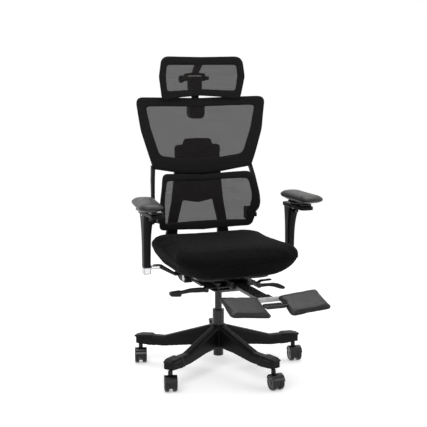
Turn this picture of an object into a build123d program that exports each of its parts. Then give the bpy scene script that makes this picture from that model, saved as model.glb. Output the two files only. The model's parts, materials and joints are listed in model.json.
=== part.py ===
from build123d import *
import os
from math import cos, radians, sin

# Reclining office chair with a pull-out footrest, in millimetres.
# Origin: on the floor under the gas lift's axis. +Z is up and the chair faces -Y,
# so the sitter's right hand is at -X. It stands as used: footrest out, back upright.

# ---------------------------------------------------------------- sizes
running = 0.05            # radial clearance of a shaft that turns or slides in its hole
gap = 0.3                 # clearance between faces of pieces that move past each other

# five-legged base
leg_count = 5
castor_circle = 330.0     # radius from the gas lift's axis to a castor's stem
leg_end = 347.0
leg_kink = 228.0          # radius where the sloping leg turns level
leg_width = 46.0
hub_radius = 29.0
hub_top = 181.0
hub_bottom = 93.0
leg_kink_top = 116.0
leg_kink_bottom = 77.0
leg_bevel = 9.0           # slope along both top edges of a leg
cap_start = 280.0         # the end cap starts here and stands proud of the leg
cap_proud = 2.5
cap_plate = 7.0

# castors
wheel_radius = 30.0
wheel_width = 18.5
wheel_gap = 12.0          # space between the two wheels of a castor
castor_trail = 20.0       # axle's distance behind the stem
castor_axle_radius = 4.0
castor_stem_radius = 5.5
castor_stem_top = 100.0
castor_boss_radius = 9.0
castor_boss_top = 74.0
hood_radius = 33.0
hood_thickness = 2.4
hood_edge = 39.0          # height of the hood's lower edge
castor_headings = [264.0, 240.0, 254.0, 256.0, 274.0]   # where each castor trails, degrees

# gas lift
tube_radius = 23.0
tube_wall = 2.5
tube_foot_radius = 20.0
tube_bottom = 54.0
tube_top = 238.0
gas_radius = 14.0
gas_wall = 1.5
gas_bottom = 125.0
gas_top = 350.0
piston_rod_radius = 5.0
piston_rod_top = 205.0
bush_height = 46.0
release_pin_radius = 3.0
release_pin_height = 22.0

# mechanism under the seat
mech_neck_bottom = 315.0
mech_floor = 335.0
mech_top = 372.0
mech_half_width = 112.0
mech_front = -172.0
mech_rear = 35.0
mech_wall = 4.0
bowl_front = -110.0       # the housing's floor is smaller than its rim
bowl_rear = 22.0
bowl_half_width = 50.0
neck_radius = 24.0
tongue_half_width = 76.0  # narrow rear end that carries the back's axle
tongue_rear = 122.0
recline_y = 90.0
recline_z = 358.0
recline_axle_radius = 8.0
spring_radius = 13.0
spring_wire = 3.0
spring_length = 64.0
spring_offset = 30.0
spring_rear = -38.0

# seat slide between mechanism and seat pan
slide_bar_offset = 64.0
slide_bar_width = 20.0
slide_web_width = 10.0
slide_web_height = 8.0
slide_head_height = 6.0
slide_bar_front = -165.0
slide_bar_rear = 110.0
slide_wall = 3.7
runner_front = -120.0
runner_rear = 60.0

# seat
pan_bottom = 402.0
pan_thickness = 10.0
pan_front = -198.0
pan_rear = 158.0
pan_half_front = 150.0
pan_half_rear = 138.0
pan_corner = 50.0
seat_outlines = [         # height above the pan, front, rear, half width front, half width rear, corner
    (0.0, -238.0, 172.0, 160.0, 148.0, 60.0),
    (12.0, -256.0, 182.0, 196.0, 184.0, 66.0),
    (26.0, -270.0, 190.0, 220.0, 207.0, 73.0),
    (44.0, -283.0, 199.0, 245.0, 231.0, 80.0),
    (66.0, -289.0, 205.0, 258.0, 245.0, 84.0),
    (84.0, -286.0, 206.0, 261.0, 249.0, 86.0),
    (97.0, -274.0, 202.0, 257.0, 245.0, 84.0),
    (106.0, -252.0, 190.0, 246.0, 235.0, 80.0),
    (111.0, -222.0, 170.0, 228.0, 217.0, 72.0),
    (114.0, -180.0, 135.0, 196.0, 186.0, 60.0),
]

# arms
arm_x = 302.0
arm_y = -15.0
arm_bar_z = 437.0
arm_bar_height = 13.0
arm_bar_depth = 32.0
arm_corner_width = 29.0
arm_corner_depth = 32.0
arm_corner_bottom = 411.0
upright_width = 18.0
upright_depth = 26.0
upright_top = 600.0
wing_end = 252.0          # where the seat pan's wing meets the arm bracket
sleeve_bottom = 437.5
sleeve_sections = [       # height, width, depth, shift to the front, corner
    (437.5, 28.0, 36.0, 0.0, 7.0),
    (560.0, 31.0, 44.0, 3.0, 9.0),
    (615.0, 38.0, 58.0, 10.0, 12.0),
    (650.0, 46.0, 76.0, 20.0, 14.0),
]
head_plate_front = -180.0
head_plate_rear = 6.0
head_plate_bottom = 648.0
head_plate_top = 662.0
head_plate_half_width = 27.0
trigger_width = 16.0
trigger_bottom = 624.0
trigger_height = 15.0
trigger_length = 20.0
trigger_reach = -80.0
slider_height = 8.5
slider_length = 108.0
slider_width = 48.0
plate_height = 8.5
plate_length = 92.0
plate_width = 62.0
pad_pivot_y = -115.0
pad_pin_radius = 8.0
arm_pad_length = 260.0
arm_pad_width = 95.0
arm_pad_height = 35.0
arm_pad_ahead = 20.0      # the pad's middle lies this far ahead of its pivot
pad_shift_right = 28.0    # the sitter's right pad is set outwards
pad_shift_left = -8.0     # and the left one inwards
pad_toe_right = 8.0
pad_toe_left = 0.0

# back
yoke_front = 236.0
yoke_rear = 252.0
yoke_arm_inner = tongue_half_width + 4
yoke_arm_outer = 113.0
upper_levels = [          # height, y of the front face at the sides and in the middle
    (740.0, 110.0, 214.0),
    (830.0, 131.0, 212.0),
    (950.0, 161.0, 213.0),
    (1095.0, 176.0, 222.0),
]
upper_half_width = 290.0
upper_thickness = 18.0
lower_levels = [
    (520.0, 132.0, 168.0),
    (600.0, 96.0, 166.0),
    (685.0, 68.0, 166.0),
    (790.0, 94.0, 172.0),
]
lower_half_width = 222.0
lower_thickness = 16.0
mesh_thickness = 2.0
mesh_inset = 5.0          # the mesh lies this far behind the frame's front face
mesh_tuck = 6.0           # and reaches this far into the frame's groove
lumbar_pivot_y = 176.0
lumbar_pivot_z = 596.0
lumbar_pin_radius = 4.0
lumbar_eye_radius = 9.0
lumbar_ear_inner = 187.0  # the pivot block's faces, from the middle of the chair
lumbar_ear_outer = 222.0
lumbar_ear_wall = 8.0
lumbar_block_height = 50.0
lumbar_block_depth = 36.0
screw_radius = 3.0
screw_head_radius = 6.0
screw_x = 46.0
screw_rows = (786.0, 812.0)
screw_boss_half_width = 62.0
screw_boss_margin = 10.0  # the boss reaches this far past the screws' rows
boss_depth = 16.0

# headrest
head_levels = [
    (1055.0, 182.0, 200.0),
    (1165.0, 171.0, 198.0),
    (1250.0, 172.0, 198.0),
]
head_half_width = 190.0
head_thickness = 15.0
stem_width = 30.0
stem_thickness = 10.0
stem_y = 270.0
stem_bottom = 1002.0
bracket_front = 242.0
bracket_wall = 8.0
bracket_top = 1064.0
bracket_bottom = 986.0
bracket_half_width = 33.0
head_pivot_y = 278.0
head_pivot_z = 1150.0
head_pin_radius = 8.0
head_bar_left = 62.0      # the pivot bar's end at the sitter's left
head_bar_right = -48.0    # and at the right, where its knob starts
head_bar_tuck = 5.0       # the bar runs this far into the knob
head_knob_radius = 14.5
head_knob_length = 17.0
clamp_half_width = 28.0
clamp_top = 1154.0
clamp_bottom = 1096.0
knuckle_inner = 33.0
knuckle_outer = 47.0
carrier_top = 1226.0
carrier_half_width = 16.0

# levers
lever_y = -150.0
lever_pivot_x = 108.0
lever_pivot_z = 361.0
lever_pin_radius = 3.0
lever_thickness = 14.0
lever_ear_wall = 5.0
slide_lever_y = -116.0

# footrest
rail_half_width = 26.0
rail_bottom = 379.0
rail_height = 14.0
rail_front = -470.0
rail_cap_length = 42.0
rail_cap_proud = 2.5
rail_rear = -100.0
rail_wall = 3.0
guide_width = 9.7
guide_front = -235.0
guide_rear = -60.0
footrest_axis_y = rail_front
footrest_axis_z = 386.5
footrest_tube_radius = 9.0
footrest_tube_half_length = 104.0
foot_pad_x = 112.0
foot_pad_y = -549.0
foot_pad_z = 396.0        # middle of the pad's top face
foot_pad_pitch = 17.0     # front edge down
foot_pad_roll = 6.0       # outer edge up
foot_pad_outlines = [     # depth below the top, half width, half length, corner
    (-19.0, 70.0, 60.0, 12.0),
    (-14.0, 78.0, 68.0, 15.0),
    (-7.0, 79.0, 69.0, 15.0),
    (-3.0, 74.0, 64.0, 14.0),
    (-1.0, 64.0, 55.0, 12.0),
    (0.0, 46.0, 38.0, 10.0),
]
foot_plate_thickness = 3.5
foot_plate_half_width = 60.0
foot_plate_half_length = 44.0
foot_knuckle_inner = 70.0
foot_knuckle_outer = 94.0
foot_knuckle_wall = 3.6
foot_bar_front = -560.0
foot_bar_depth = 40.0
foot_bar_bottom = 375.0
foot_bar_thickness = 12.0

big = 1500.0              # longer than the chair, for cuts that go right through


# ---------------------------------------------------------------- helpers
def block(x0, x1, y0, y1, z0, z1):
    """Rectangular block between two opposite corners."""
    middle = Pos((x0 + x1) / 2, (y0 + y1) / 2, (z0 + z1) / 2)
    return middle * Box(x1 - x0, y1 - y0, z1 - z0)


def post(radius, x, y, z0, z1):
    """Upright cylinder."""
    return Pos(x, y, (z0 + z1) / 2) * Cylinder(radius, z1 - z0)


def pin_x(radius, x0, x1, y, z):
    """Cylinder along X."""
    return Pos((x0 + x1) / 2, y, z) * Rot(0, 90, 0) * Cylinder(radius, x1 - x0)


def pin_y(radius, x, y0, y1, z):
    """Cylinder along Y."""
    return Pos(x, (y0 + y1) / 2, z) * Rot(90, 0, 0) * Cylinder(radius, y1 - y0)


def outline(points, radii):
    """Closed flat face with rounded corners."""
    return make_face(FilletPolyline(*points, radius=radii, close=True))


def front_prism(points, radii, y0=-big, y1=big):
    """Front view outline in x and z, carried from y0 to y1."""
    return Pos(0, y1, 0) * extrude(Plane.XZ * outline(points, radii), y1 - y0)


def side_prism(points, radii, x0=-big, x1=big):
    """Side view outline in y and z, carried from x0 to x1."""
    return Pos(x0, 0, 0) * extrude(Plane.YZ * outline(points, radii), x1 - x0)


def plan_prism(points, radii, z0, z1):
    """Plan view outline in x and y, carried from z0 to z1."""
    return Pos(0, 0, z0) * extrude(outline(points, radii), z1 - z0)


def both_sides(points):
    """Right-hand half of a symmetric outline, mirrored into the whole."""
    return points + [(-x, z) for x, z in reversed(points) if x > 0]


def both_radii(points, radii):
    """Corner radii that go with both_sides."""
    mirrored = [r for (x, z), r in zip(reversed(points), reversed(radii)) if x > 0]
    return radii + mirrored


def left_and_right(solid):
    """A piece and its mirror image across the chair's middle."""
    return solid + mirror(solid, about=Plane.YZ)


def curved_sheet(levels, half_width, inset, thickness):
    """Sheet that is hollow towards the sitter, lofted through arcs at several heights."""
    faces = []
    for z, y_side, y_middle in levels:
        front = ThreePointArc(
            (-half_width, y_side + inset),
            (0, y_middle + inset),
            (half_width, y_side + inset),
        )
        rear = ThreePointArc(
            (half_width, y_side + inset + thickness),
            (0, y_middle + inset + thickness),
            (-half_width, y_side + inset + thickness),
        )
        ends = [Line(front @ 1, rear @ 0), Line(rear @ 1, front @ 0)]
        faces.append(Pos(0, 0, z) * make_face([front, ends[0], rear, ends[1]]))
    return loft(faces)


def rounded_outline(front, rear, half_front, half_rear, corner):
    """Four-sided plan outline with bowed-out corners, symmetric about x = 0."""
    points = [(half_front, front), (half_rear, rear), (-half_rear, rear), (-half_front, front)]
    return outline(points, corner)


def soft_block(outlines):
    """Cushion built up through plan outlines: height, front, rear, two half widths, corner."""
    faces = []
    for z, front, rear, half_front, half_rear, corner in outlines:
        faces.append(Pos(0, 0, z) * rounded_outline(front, rear, half_front, half_rear, corner))
    return loft(faces, ruled=True)


# ---------------------------------------------------------------- base
def leg_section(r, half_width, bottom, top, bevel):
    """Upright section of a leg at distance r from the axis, with sloped top edges."""
    points = [
        (-half_width, bottom),
        (half_width, bottom),
        (half_width, top - bevel),
        (half_width - bevel, top),
        (-half_width + bevel, top),
        (-half_width, top - bevel),
    ]
    face = make_face(Polyline(*points, close=True))
    return Plane(origin=(r, 0, 0), x_dir=(0, 1, 0), z_dir=(1, 0, 0)) * face


def make_leg():
    half = leg_width / 2
    sloping = loft(
        [
            leg_section(0, half - 3, hub_bottom, hub_top + 6, leg_bevel),
            leg_section(leg_kink / 2, half - 2, hub_bottom - 3, (hub_top + leg_kink_top) / 2 + 3, leg_bevel),
            leg_section(leg_kink, half - 1, leg_kink_bottom, leg_kink_top, leg_bevel),
            leg_section(cap_start, half, leg_kink_bottom + 1, leg_kink_top, leg_bevel),
        ],
        ruled=True,
    )
    level = loft(
        [
            leg_section(cap_start, half, leg_kink_bottom, leg_kink_top - cap_plate, 1),
            leg_section(leg_end - 4, half - 3, leg_kink_bottom + 4, leg_kink_top - cap_plate, 1),
        ],
        ruled=True,
    )
    cap = loft(
        [
            leg_section(cap_start - 4, half, leg_kink_top - cap_plate, leg_kink_top + cap_proud, 3),
            leg_section(leg_end - 20, half + 2, leg_kink_top - cap_plate, leg_kink_top, 3),
            leg_section(leg_end + 4, half - 6, leg_kink_top - cap_plate - 2, leg_kink_top - 5, 1),
        ],
        ruled=True,
    )
    return sloping + level + cap


def make_star_base():
    base = post(hub_radius, 0, 0, hub_bottom, hub_top)
    leg = make_leg()
    for k in range(leg_count):
        base += Rot(0, 0, 360 / leg_count * k) * leg
    base -= post(big, 0, 0, hub_top, hub_top + 50)
    base -= post(tube_radius, 0, 0, 0, big)
    for k in range(leg_count):
        socket = post(castor_stem_radius + running, castor_circle, 0, 0, castor_stem_top + 1)
        base -= Rot(0, 0, 360 / leg_count * k) * socket
    return base


def make_column_tube():
    outer = post(tube_radius, 0, 0, hub_bottom, tube_top)
    outer += post(tube_foot_radius, 0, 0, tube_bottom, hub_bottom)
    bore = post(tube_radius - tube_wall, 0, 0, hub_bottom + tube_wall, tube_top)
    bore += post(tube_foot_radius - tube_wall, 0, 0, tube_bottom + 3, hub_bottom + tube_wall)
    rod_hole = post(piston_rod_radius + running, 0, 0, 0, tube_bottom + 5)
    return outer - bore - rod_hole


def make_column_bush():
    sleeve = post(tube_radius - tube_wall, 0, 0, tube_top - bush_height, tube_top)
    lip = post(tube_radius, 0, 0, tube_top, tube_top + 4)
    return sleeve + lip - post(gas_radius + running, 0, 0, 0, big)


# ---------------------------------------------------------------- castors
def make_castor_body():
    """Hood, web, axle and stem of a castor that trails towards +X from the origin."""
    middle = pin_y(hood_radius - 5, castor_trail, -wheel_gap / 2 + gap, wheel_gap / 2 - gap, wheel_radius)
    width = wheel_width + wheel_gap / 2
    hood = pin_y(hood_radius, castor_trail, -width, width, wheel_radius)
    hood -= pin_y(hood_radius - hood_thickness, castor_trail, -width, width, wheel_radius)
    hood -= block(-big, big, -big, big, -big, hood_edge)
    web = pin_y(hood_radius, castor_trail, -wheel_gap / 2 + gap, wheel_gap / 2 - gap, wheel_radius)
    web -= block(-big, big, -big, big, -big, hood_edge)
    lower = middle - block(castor_trail, big, -big, big, 0, wheel_radius - castor_axle_radius - 5)
    lower -= block(-big, big, -big, big, -big, 9)
    body = hood + web + lower + post(castor_boss_radius, 0, 0, wheel_radius + 14, castor_boss_top)
    body -= pin_y(castor_axle_radius, castor_trail, -big, big, wheel_radius)
    for side in (-1, 1):
        inner = side * (wheel_gap / 2 - gap)
        outer = side * (wheel_gap / 2 + wheel_width + 1)
        space = pin_y(wheel_radius + gap, castor_trail, min(inner, outer), max(inner, outer), wheel_radius)
        body -= space
    stem = post(castor_stem_radius, 0, 0, castor_boss_top, castor_stem_top)
    half_axle = wheel_gap / 2 + wheel_width - 3
    axle = pin_y(castor_axle_radius, castor_trail, -half_axle, half_axle, wheel_radius)
    return [body + stem, axle]


def make_castor_wheel(side):
    """One wheel, to the left or right of the web, with a dished outer face."""
    inner = wheel_gap / 2
    outer = inner + wheel_width
    profile = FilletPolyline(
        (0, inner),
        (wheel_radius, inner),
        (wheel_radius, outer - 2),
        (wheel_radius - 6, outer),
        (wheel_radius - 9, outer - 2),
        (8, outer - 2),
        (7, outer),
        (0, outer),
        radius=[0, 2, 3, 2, 0.8, 0.8, 0.5, 0],
        close=True,
    )
    wheel = revolve(make_face(profile), Axis.Y)
    wheel -= pin_y(castor_axle_radius + running, 0, 0, outer - 2.5, 0)
    wheel = Pos(castor_trail, 0, wheel_radius) * wheel
    return wheel if side > 0 else mirror(wheel, about=Plane.XZ)


def place_castor(k, solid):
    """Turn a castor to its heading and set it under leg k."""
    angle = radians(360 / leg_count * k)
    spot = Pos(castor_circle * cos(angle), castor_circle * sin(angle), 0)
    return spot * Rot(0, 0, castor_headings[k]) * solid


# ---------------------------------------------------------------- gas lift
def make_piston_rod():
    rod = post(piston_rod_radius, 0, 0, tube_bottom - 2, piston_rod_top)
    piston = post(gas_radius - gas_wall - running, 0, 0, piston_rod_top, piston_rod_top + 8)
    bearing = post(12, 0, 0, tube_bottom + 3, tube_bottom + 8)
    return [rod + piston, bearing - post(piston_rod_radius, 0, 0, 0, big)]


def make_gas_cylinder():
    body = post(gas_radius, 0, 0, gas_bottom, gas_top)
    body -= post(gas_radius - gas_wall, 0, 0, gas_bottom + 10, gas_top - 12)
    body -= post(piston_rod_radius + running, 0, 0, gas_bottom, gas_bottom + 10)
    body -= post(release_pin_radius + running, 0, 0, gas_top - 12, gas_top)
    return body


def make_release_pin():
    pin = post(release_pin_radius, 0, 0, gas_top - 10, gas_top - 10 + release_pin_height)
    return pin + post(release_pin_radius + 2, 0, 0, gas_top + 8, gas_top - 10 + release_pin_height)


# ---------------------------------------------------------------- mechanism
def mech_shell(shrink, floor, top):
    """Bowl of the mechanism, drawn in by shrink on every side."""
    bottom_face = Pos(0, 0, floor) * rounded_outline(
        bowl_front + shrink, bowl_rear - shrink, bowl_half_width - shrink, bowl_half_width - shrink, 14
    )
    top_face = Pos(0, 0, top) * rounded_outline(
        mech_front + shrink, mech_rear - shrink, mech_half_width - shrink, mech_half_width - shrink, 20
    )
    return loft([bottom_face, top_face])


def lever_notch(side, y):
    """Room for a lever's inner end in the mechanism's rim."""
    x = side * lever_pivot_x
    half = lever_thickness / 2 + gap
    return block(x - 11, x + 11, y - half, y + half, lever_pivot_z - 11, mech_top)


def lever_ears(side, y):
    """Two ears and a pin that carry a lever beside the mechanism."""
    x = side * lever_pivot_x
    inner = lever_thickness / 2 + gap
    outer = inner + lever_ear_wall
    ears = block(x - 8, x + 8, y - outer, y - inner, lever_pivot_z - 8, mech_top)
    ears += block(x - 8, x + 8, y + inner, y + outer, lever_pivot_z - 8, mech_top)
    return ears + pin_y(lever_pin_radius, x, y - outer, y + outer, lever_pivot_z)


def make_mechanism():
    body = mech_shell(0, mech_floor, mech_top)
    body += block(-tongue_half_width, tongue_half_width, 0, tongue_rear, mech_floor + 4, mech_top)
    body += post(neck_radius, 0, 0, mech_neck_bottom, mech_floor + 10)
    hollow = mech_shell(mech_wall, mech_floor + mech_wall, mech_top - 6)
    inner = tongue_half_width - mech_wall
    hollow += block(-inner, inner, 0, tongue_rear - mech_wall, mech_floor + 8, mech_top - 6)
    body -= hollow
    body += post(neck_radius, 0, 0, mech_neck_bottom, gas_top - 4)
    body -= post(gas_radius, 0, 0, 0, gas_top)
    body -= block(-34, 34, -38, 38, mech_top - 6, mech_top)
    for side, y in ((-1, lever_y), (1, lever_y), (1, slide_lever_y)):
        body -= lever_notch(side, y)
        body += lever_ears(side, y)
    body -= pin_x(recline_axle_radius, -big, big, recline_y, recline_z)
    return body


def make_recline_axle():
    reach = yoke_arm_outer + gap
    axle = pin_x(recline_axle_radius, -reach, reach, recline_y, recline_z)
    heads = pin_x(recline_axle_radius + 4, reach, reach + 4, recline_y, recline_z)
    return axle + left_and_right(heads)


def make_tilt_springs():
    """Two springs that press the back forwards, side by side in the mechanism."""
    front = spring_rear - spring_length
    z = mech_floor + mech_wall + spring_radius
    spring = pin_y(spring_radius, spring_offset, front, spring_rear, z)
    spring -= pin_y(spring_radius - spring_wire, spring_offset, front - 2, spring_rear + 2, z)
    return left_and_right(spring)


def make_slide_bars():
    """Two T-shaped bars on the mechanism that the seat pan runs on."""
    web_top = mech_top + slide_web_height
    head_top = web_top + slide_head_height
    half_web = slide_web_width / 2
    half_head = slide_bar_width / 2
    x = slide_bar_offset
    bar = block(x - half_web, x + half_web, slide_bar_front, slide_bar_rear, mech_top, web_top)
    bar += block(x - half_head, x + half_head, slide_bar_front, slide_bar_rear, web_top, head_top)
    return left_and_right(bar)


# ---------------------------------------------------------------- seat
def make_runner():
    """Channel under the seat pan that wraps a slide bar's head."""
    x = slide_bar_offset
    half_head = slide_bar_width / 2 + gap
    web_top = mech_top + slide_web_height
    half_runner = half_head + slide_wall
    runner = block(x - half_runner, x + half_runner, runner_front, runner_rear, web_top - 4, pan_bottom)
    runner -= block(x - half_head, x + half_head, -big, big, web_top - gap, web_top + slide_head_height + gap)
    half_web = slide_web_width / 2 + gap
    return runner - block(x - half_web, x + half_web, -big, big, 0, web_top)


def make_wing():
    """Bracket that rises from the pan's edge to meet the arm's bar."""
    bar_low = arm_bar_z - arm_bar_height / 2
    bar_high = arm_bar_z + arm_bar_height / 2
    points = [
        (130, pan_bottom - 4),
        (192, pan_bottom - 4),
        (wing_end, bar_low),
        (wing_end, bar_high),
        (236, bar_high - 3),
        (184, pan_bottom + 5),
        (130, pan_bottom + 5),
    ]
    return front_prism(points, 0, arm_y - arm_bar_depth / 2 - 4, arm_y + arm_bar_depth / 2 + 4)


def make_seat_pan():
    face = rounded_outline(pan_front, pan_rear, pan_half_front, pan_half_rear, pan_corner)
    pan = Pos(0, 0, pan_bottom) * extrude(face, pan_thickness)
    pan += left_and_right(make_runner())
    return pan + left_and_right(make_wing())


def make_seat_cushion():
    top_of_pan = pan_bottom + pan_thickness
    cushion = Pos(0, 0, top_of_pan) * soft_block(seat_outlines)
    wings = left_and_right(make_wing())
    return cushion - wings


def make_footrest_guides():
    """Two channels under the seat pan that hold the footrest's rail by its edges."""
    inner = rail_half_width + gap
    guide = block(inner, inner + guide_width, guide_front, guide_rear, rail_bottom - 5, pan_bottom)
    lip = block(inner - 5, inner, guide_front, guide_rear, rail_bottom - 5, rail_bottom - gap)
    return left_and_right(guide + lip)


# ---------------------------------------------------------------- arms
def make_arm_bracket(side):
    """Bright angle bracket: bar from the seat, corner, and upright inside the sleeve."""
    half_bar = arm_bar_height / 2
    half_depth = arm_bar_depth / 2
    half_corner = arm_corner_width / 2
    low = arm_bar_z - half_bar
    high = arm_bar_z + half_bar
    bar = block(wing_end, arm_x - half_corner, arm_y - half_depth, arm_y + half_depth, low, high)
    corner = Pos(arm_x, arm_y, (arm_corner_bottom + sleeve_bottom - gap) / 2) * Box(
        arm_corner_width, arm_corner_depth, sleeve_bottom - gap - arm_corner_bottom
    )
    corner = fillet(corner.edges().filter_by(Axis.Z), 5)
    upright = block(
        arm_x - upright_width / 2,
        arm_x + upright_width / 2,
        arm_y - upright_depth / 2,
        arm_y + upright_depth / 2,
        sleeve_bottom - 2,
        upright_top,
    )
    bracket = bar + corner + upright
    return bracket if side > 0 else mirror(bracket, about=Plane.YZ)


def make_arm_sleeve(side):
    faces = []
    for z, width, depth, shift, corner in sleeve_sections:
        faces.append(Pos(arm_x, arm_y - shift, z) * RectangleRounded(width, depth, corner))
    sleeve = loft(faces)
    half = head_plate_half_width
    plate_points = [
        (arm_x - half, head_plate_front),
        (arm_x + half, head_plate_front),
        (arm_x + half, head_plate_rear),
        (arm_x - half, head_plate_rear),
    ]
    sleeve += plan_prism(plate_points, 14, head_plate_bottom, head_plate_top)
    sleeve -= block(
        arm_x - upright_width / 2 - gap,
        arm_x + upright_width / 2 + gap,
        arm_y - upright_depth / 2 - gap,
        arm_y + upright_depth / 2 + gap,
        0,
        upright_top + 10,
    )
    sleeve -= block(
        arm_x - trigger_width / 2 - gap,
        arm_x + trigger_width / 2 + gap,
        -big,
        trigger_reach + trigger_length + 5,
        trigger_bottom - gap,
        trigger_bottom + trigger_height + gap,
    )
    return sleeve if side > 0 else mirror(sleeve, about=Plane.YZ)


def make_arm_trigger(side):
    """Height button in the front of the sleeve."""
    half = trigger_width / 2
    rear = trigger_reach + trigger_length
    points = [
        (trigger_reach, trigger_bottom + 3),
        (rear, trigger_bottom),
        (rear, trigger_bottom + trigger_height),
        (trigger_reach, trigger_bottom + trigger_height),
    ]
    trigger = side_prism(points, [3, 0, 0, 3], arm_x - half, arm_x + half)
    return trigger if side > 0 else mirror(trigger, about=Plane.YZ)


def pad_pivot_x(side):
    shift = pad_shift_left if side > 0 else pad_shift_right
    return side * (arm_x + shift)


slider_bottom = head_plate_top + gap
plate_bottom = slider_bottom + slider_height + gap
pad_bottom = plate_bottom + plate_height + gap


def make_pad_slider(side):
    """Carriage that runs to the front and back on the sleeve's head."""
    slider = Pos(side * arm_x, pad_pivot_y, slider_bottom + slider_height / 2) * Box(
        slider_width, slider_length, slider_height
    )
    return fillet(slider.edges().filter_by(Axis.Z), 10)


def make_pad_plate(side):
    """Plate that shifts sideways on the carriage and holds the pad's swivel pin."""
    x = pad_pivot_x(side)
    middle = Pos(x, pad_pivot_y, plate_bottom + plate_height / 2)
    plate = middle * Box(plate_width, plate_length, plate_height)
    plate = fillet(plate.edges().filter_by(Axis.Z), 14)
    return plate + post(pad_pin_radius, x, pad_pivot_y, plate_bottom, pad_bottom + 8)


def make_arm_pad(side):
    """Soft arm pad with a crowned top, bored for the swivel pin."""
    shapes = [(0, 42, 15, 26), (9, 10, 4, 36), (18, 0, 0, 42), (28, 8, 7, 36), (arm_pad_height, 27, 20, 24)]
    faces = []
    for z, end_cut, side_cut, corner in shapes:
        length = arm_pad_length - 2 * end_cut
        width = arm_pad_width - 2 * side_cut
        faces.append(Pos(0, -arm_pad_ahead, z) * RectangleRounded(width, length, corner))
    pad = loft(faces)
    pad -= post(pad_pin_radius + running, 0, 0, 0, 9)
    toe = pad_toe_left if side > 0 else -pad_toe_right
    return Pos(pad_pivot_x(side), pad_pivot_y, pad_bottom) * Rot(0, 0, toe) * pad


# ---------------------------------------------------------------- back
def make_back_yoke():
    """Two posts from the recline axle that join in a plate behind the upper panel."""
    half_outline = [
        (0, 907),
        (56, 905),
        (64, 882),
        (99, 880),
        (97, 830),
        (103, 740),
        (113, 650),
        (140, 500),
        (136, 430),
        (yoke_arm_outer, 385),
        (yoke_arm_outer, 320),
        (yoke_arm_inner, 320),
        (yoke_arm_inner, 430),
        (90, 500),
        (88, 565),
        (66, 652),
        (0, 640),
    ]
    radii = [0, 12, 3, 16, 40, 60, 60, 30, 30, 20, 0, 0, 30, 30, 60, 6, 0]
    yoke = front_prism(both_sides(half_outline), both_radii(half_outline, radii))
    side_view = [
        (yoke_front, 920),
        (yoke_front, 505),
        (230, 440),
        (194, 392),
        (145, 380),
        (recline_y - 19, 379),
        (recline_y - 19, 338),
        (150, 338),
        (212, 362),
        (250, 420),
        (257, 500),
        (yoke_rear, 660),
        (yoke_rear, 920),
    ]
    yoke &= side_prism(side_view, [0, 60, 30, 30, 30, 18, 18, 40, 40, 60, 60, 60, 0])
    yoke -= pin_x(recline_axle_radius + running, -big, big, recline_y, recline_z)
    return yoke


upper_outline = [
    (0, 1071),
    (278, 1079),
    (260, 945),
    (229, 845),
    (211, 792),
    (90, 768),
    (0, 762),
]
upper_radii = [0, 26, 200, 200, 20, 300, 0]
upper_window = [
    (0, 1038),
    (237, 1044),
    (217, 950),
    (181, 843),
    (90, 828),
    (0, 827),
]
upper_window_radii = [0, 14, 200, 34, 200, 0]
lower_outline = [
    (0, 762),
    (192, 778),
    (212, 670),
    (200, 548),
    (0, 536),
]
lower_radii = [0, 26, 200, 24, 0]
lower_window = [
    (0, 741),
    (176, 750),
    (191, 675),
    (177, 572),
    (0, 572),
]
lower_window_radii = [0, 16, 150, 10, 0]
head_outline = [
    (0, 1236),
    (171, 1239),
    (183, 1158),
    (167, 1064),
    (90, 1075),
    (0, 1081),
]
head_radii = [0, 34, 60, 20, 90, 0]
head_window = [
    (0, 1206),
    (150, 1207),
    (155, 1160),
    (148, 1098),
    (0, 1106),
]
head_window_radii = [0, 14, 40, 14, 0]


def grown(points, by):
    """Symmetric half outline moved outwards by a few millimetres, for the mesh's edge."""
    middle = (points[0][1] + points[-1][1]) / 2
    grown_points = []
    for x, z in points:
        new_x = x + by if x > 0 else 0
        grown_points.append((new_x, z + by if z > middle else z - by))
    return grown_points


def panel_mesh(levels, half_width, window, radii):
    """Curved mesh sheet that fills a panel's window and sits in its groove."""
    sheet = curved_sheet(levels, half_width, mesh_inset, mesh_thickness)
    edge = grown(window, mesh_tuck)
    return sheet & front_prism(both_sides(edge), both_radii(edge, radii))


def panel_frame(levels, half_width, thickness, edge, edge_radii, window, window_radii):
    """Curved ring with a groove for its mesh."""
    ring = curved_sheet(levels, half_width, 0, thickness)
    ring &= front_prism(both_sides(edge), both_radii(edge, edge_radii))
    ring -= front_prism(both_sides(window), both_radii(window, window_radii))
    return ring - panel_mesh(levels, half_width, window, window_radii)


def make_upper_frame():
    frame = panel_frame(
        upper_levels, upper_half_width, upper_thickness, upper_outline, upper_radii, upper_window, upper_window_radii
    )
    low = screw_rows[0] - screw_boss_margin
    high = screw_rows[1] + screw_boss_margin
    half = screw_boss_half_width
    frame += block(-half, half, yoke_front - boss_depth, yoke_front, low, high)
    frame += block(-30, 30, bracket_front - boss_depth, bracket_front, bracket_top - 20, bracket_top + 2)
    return frame


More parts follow.
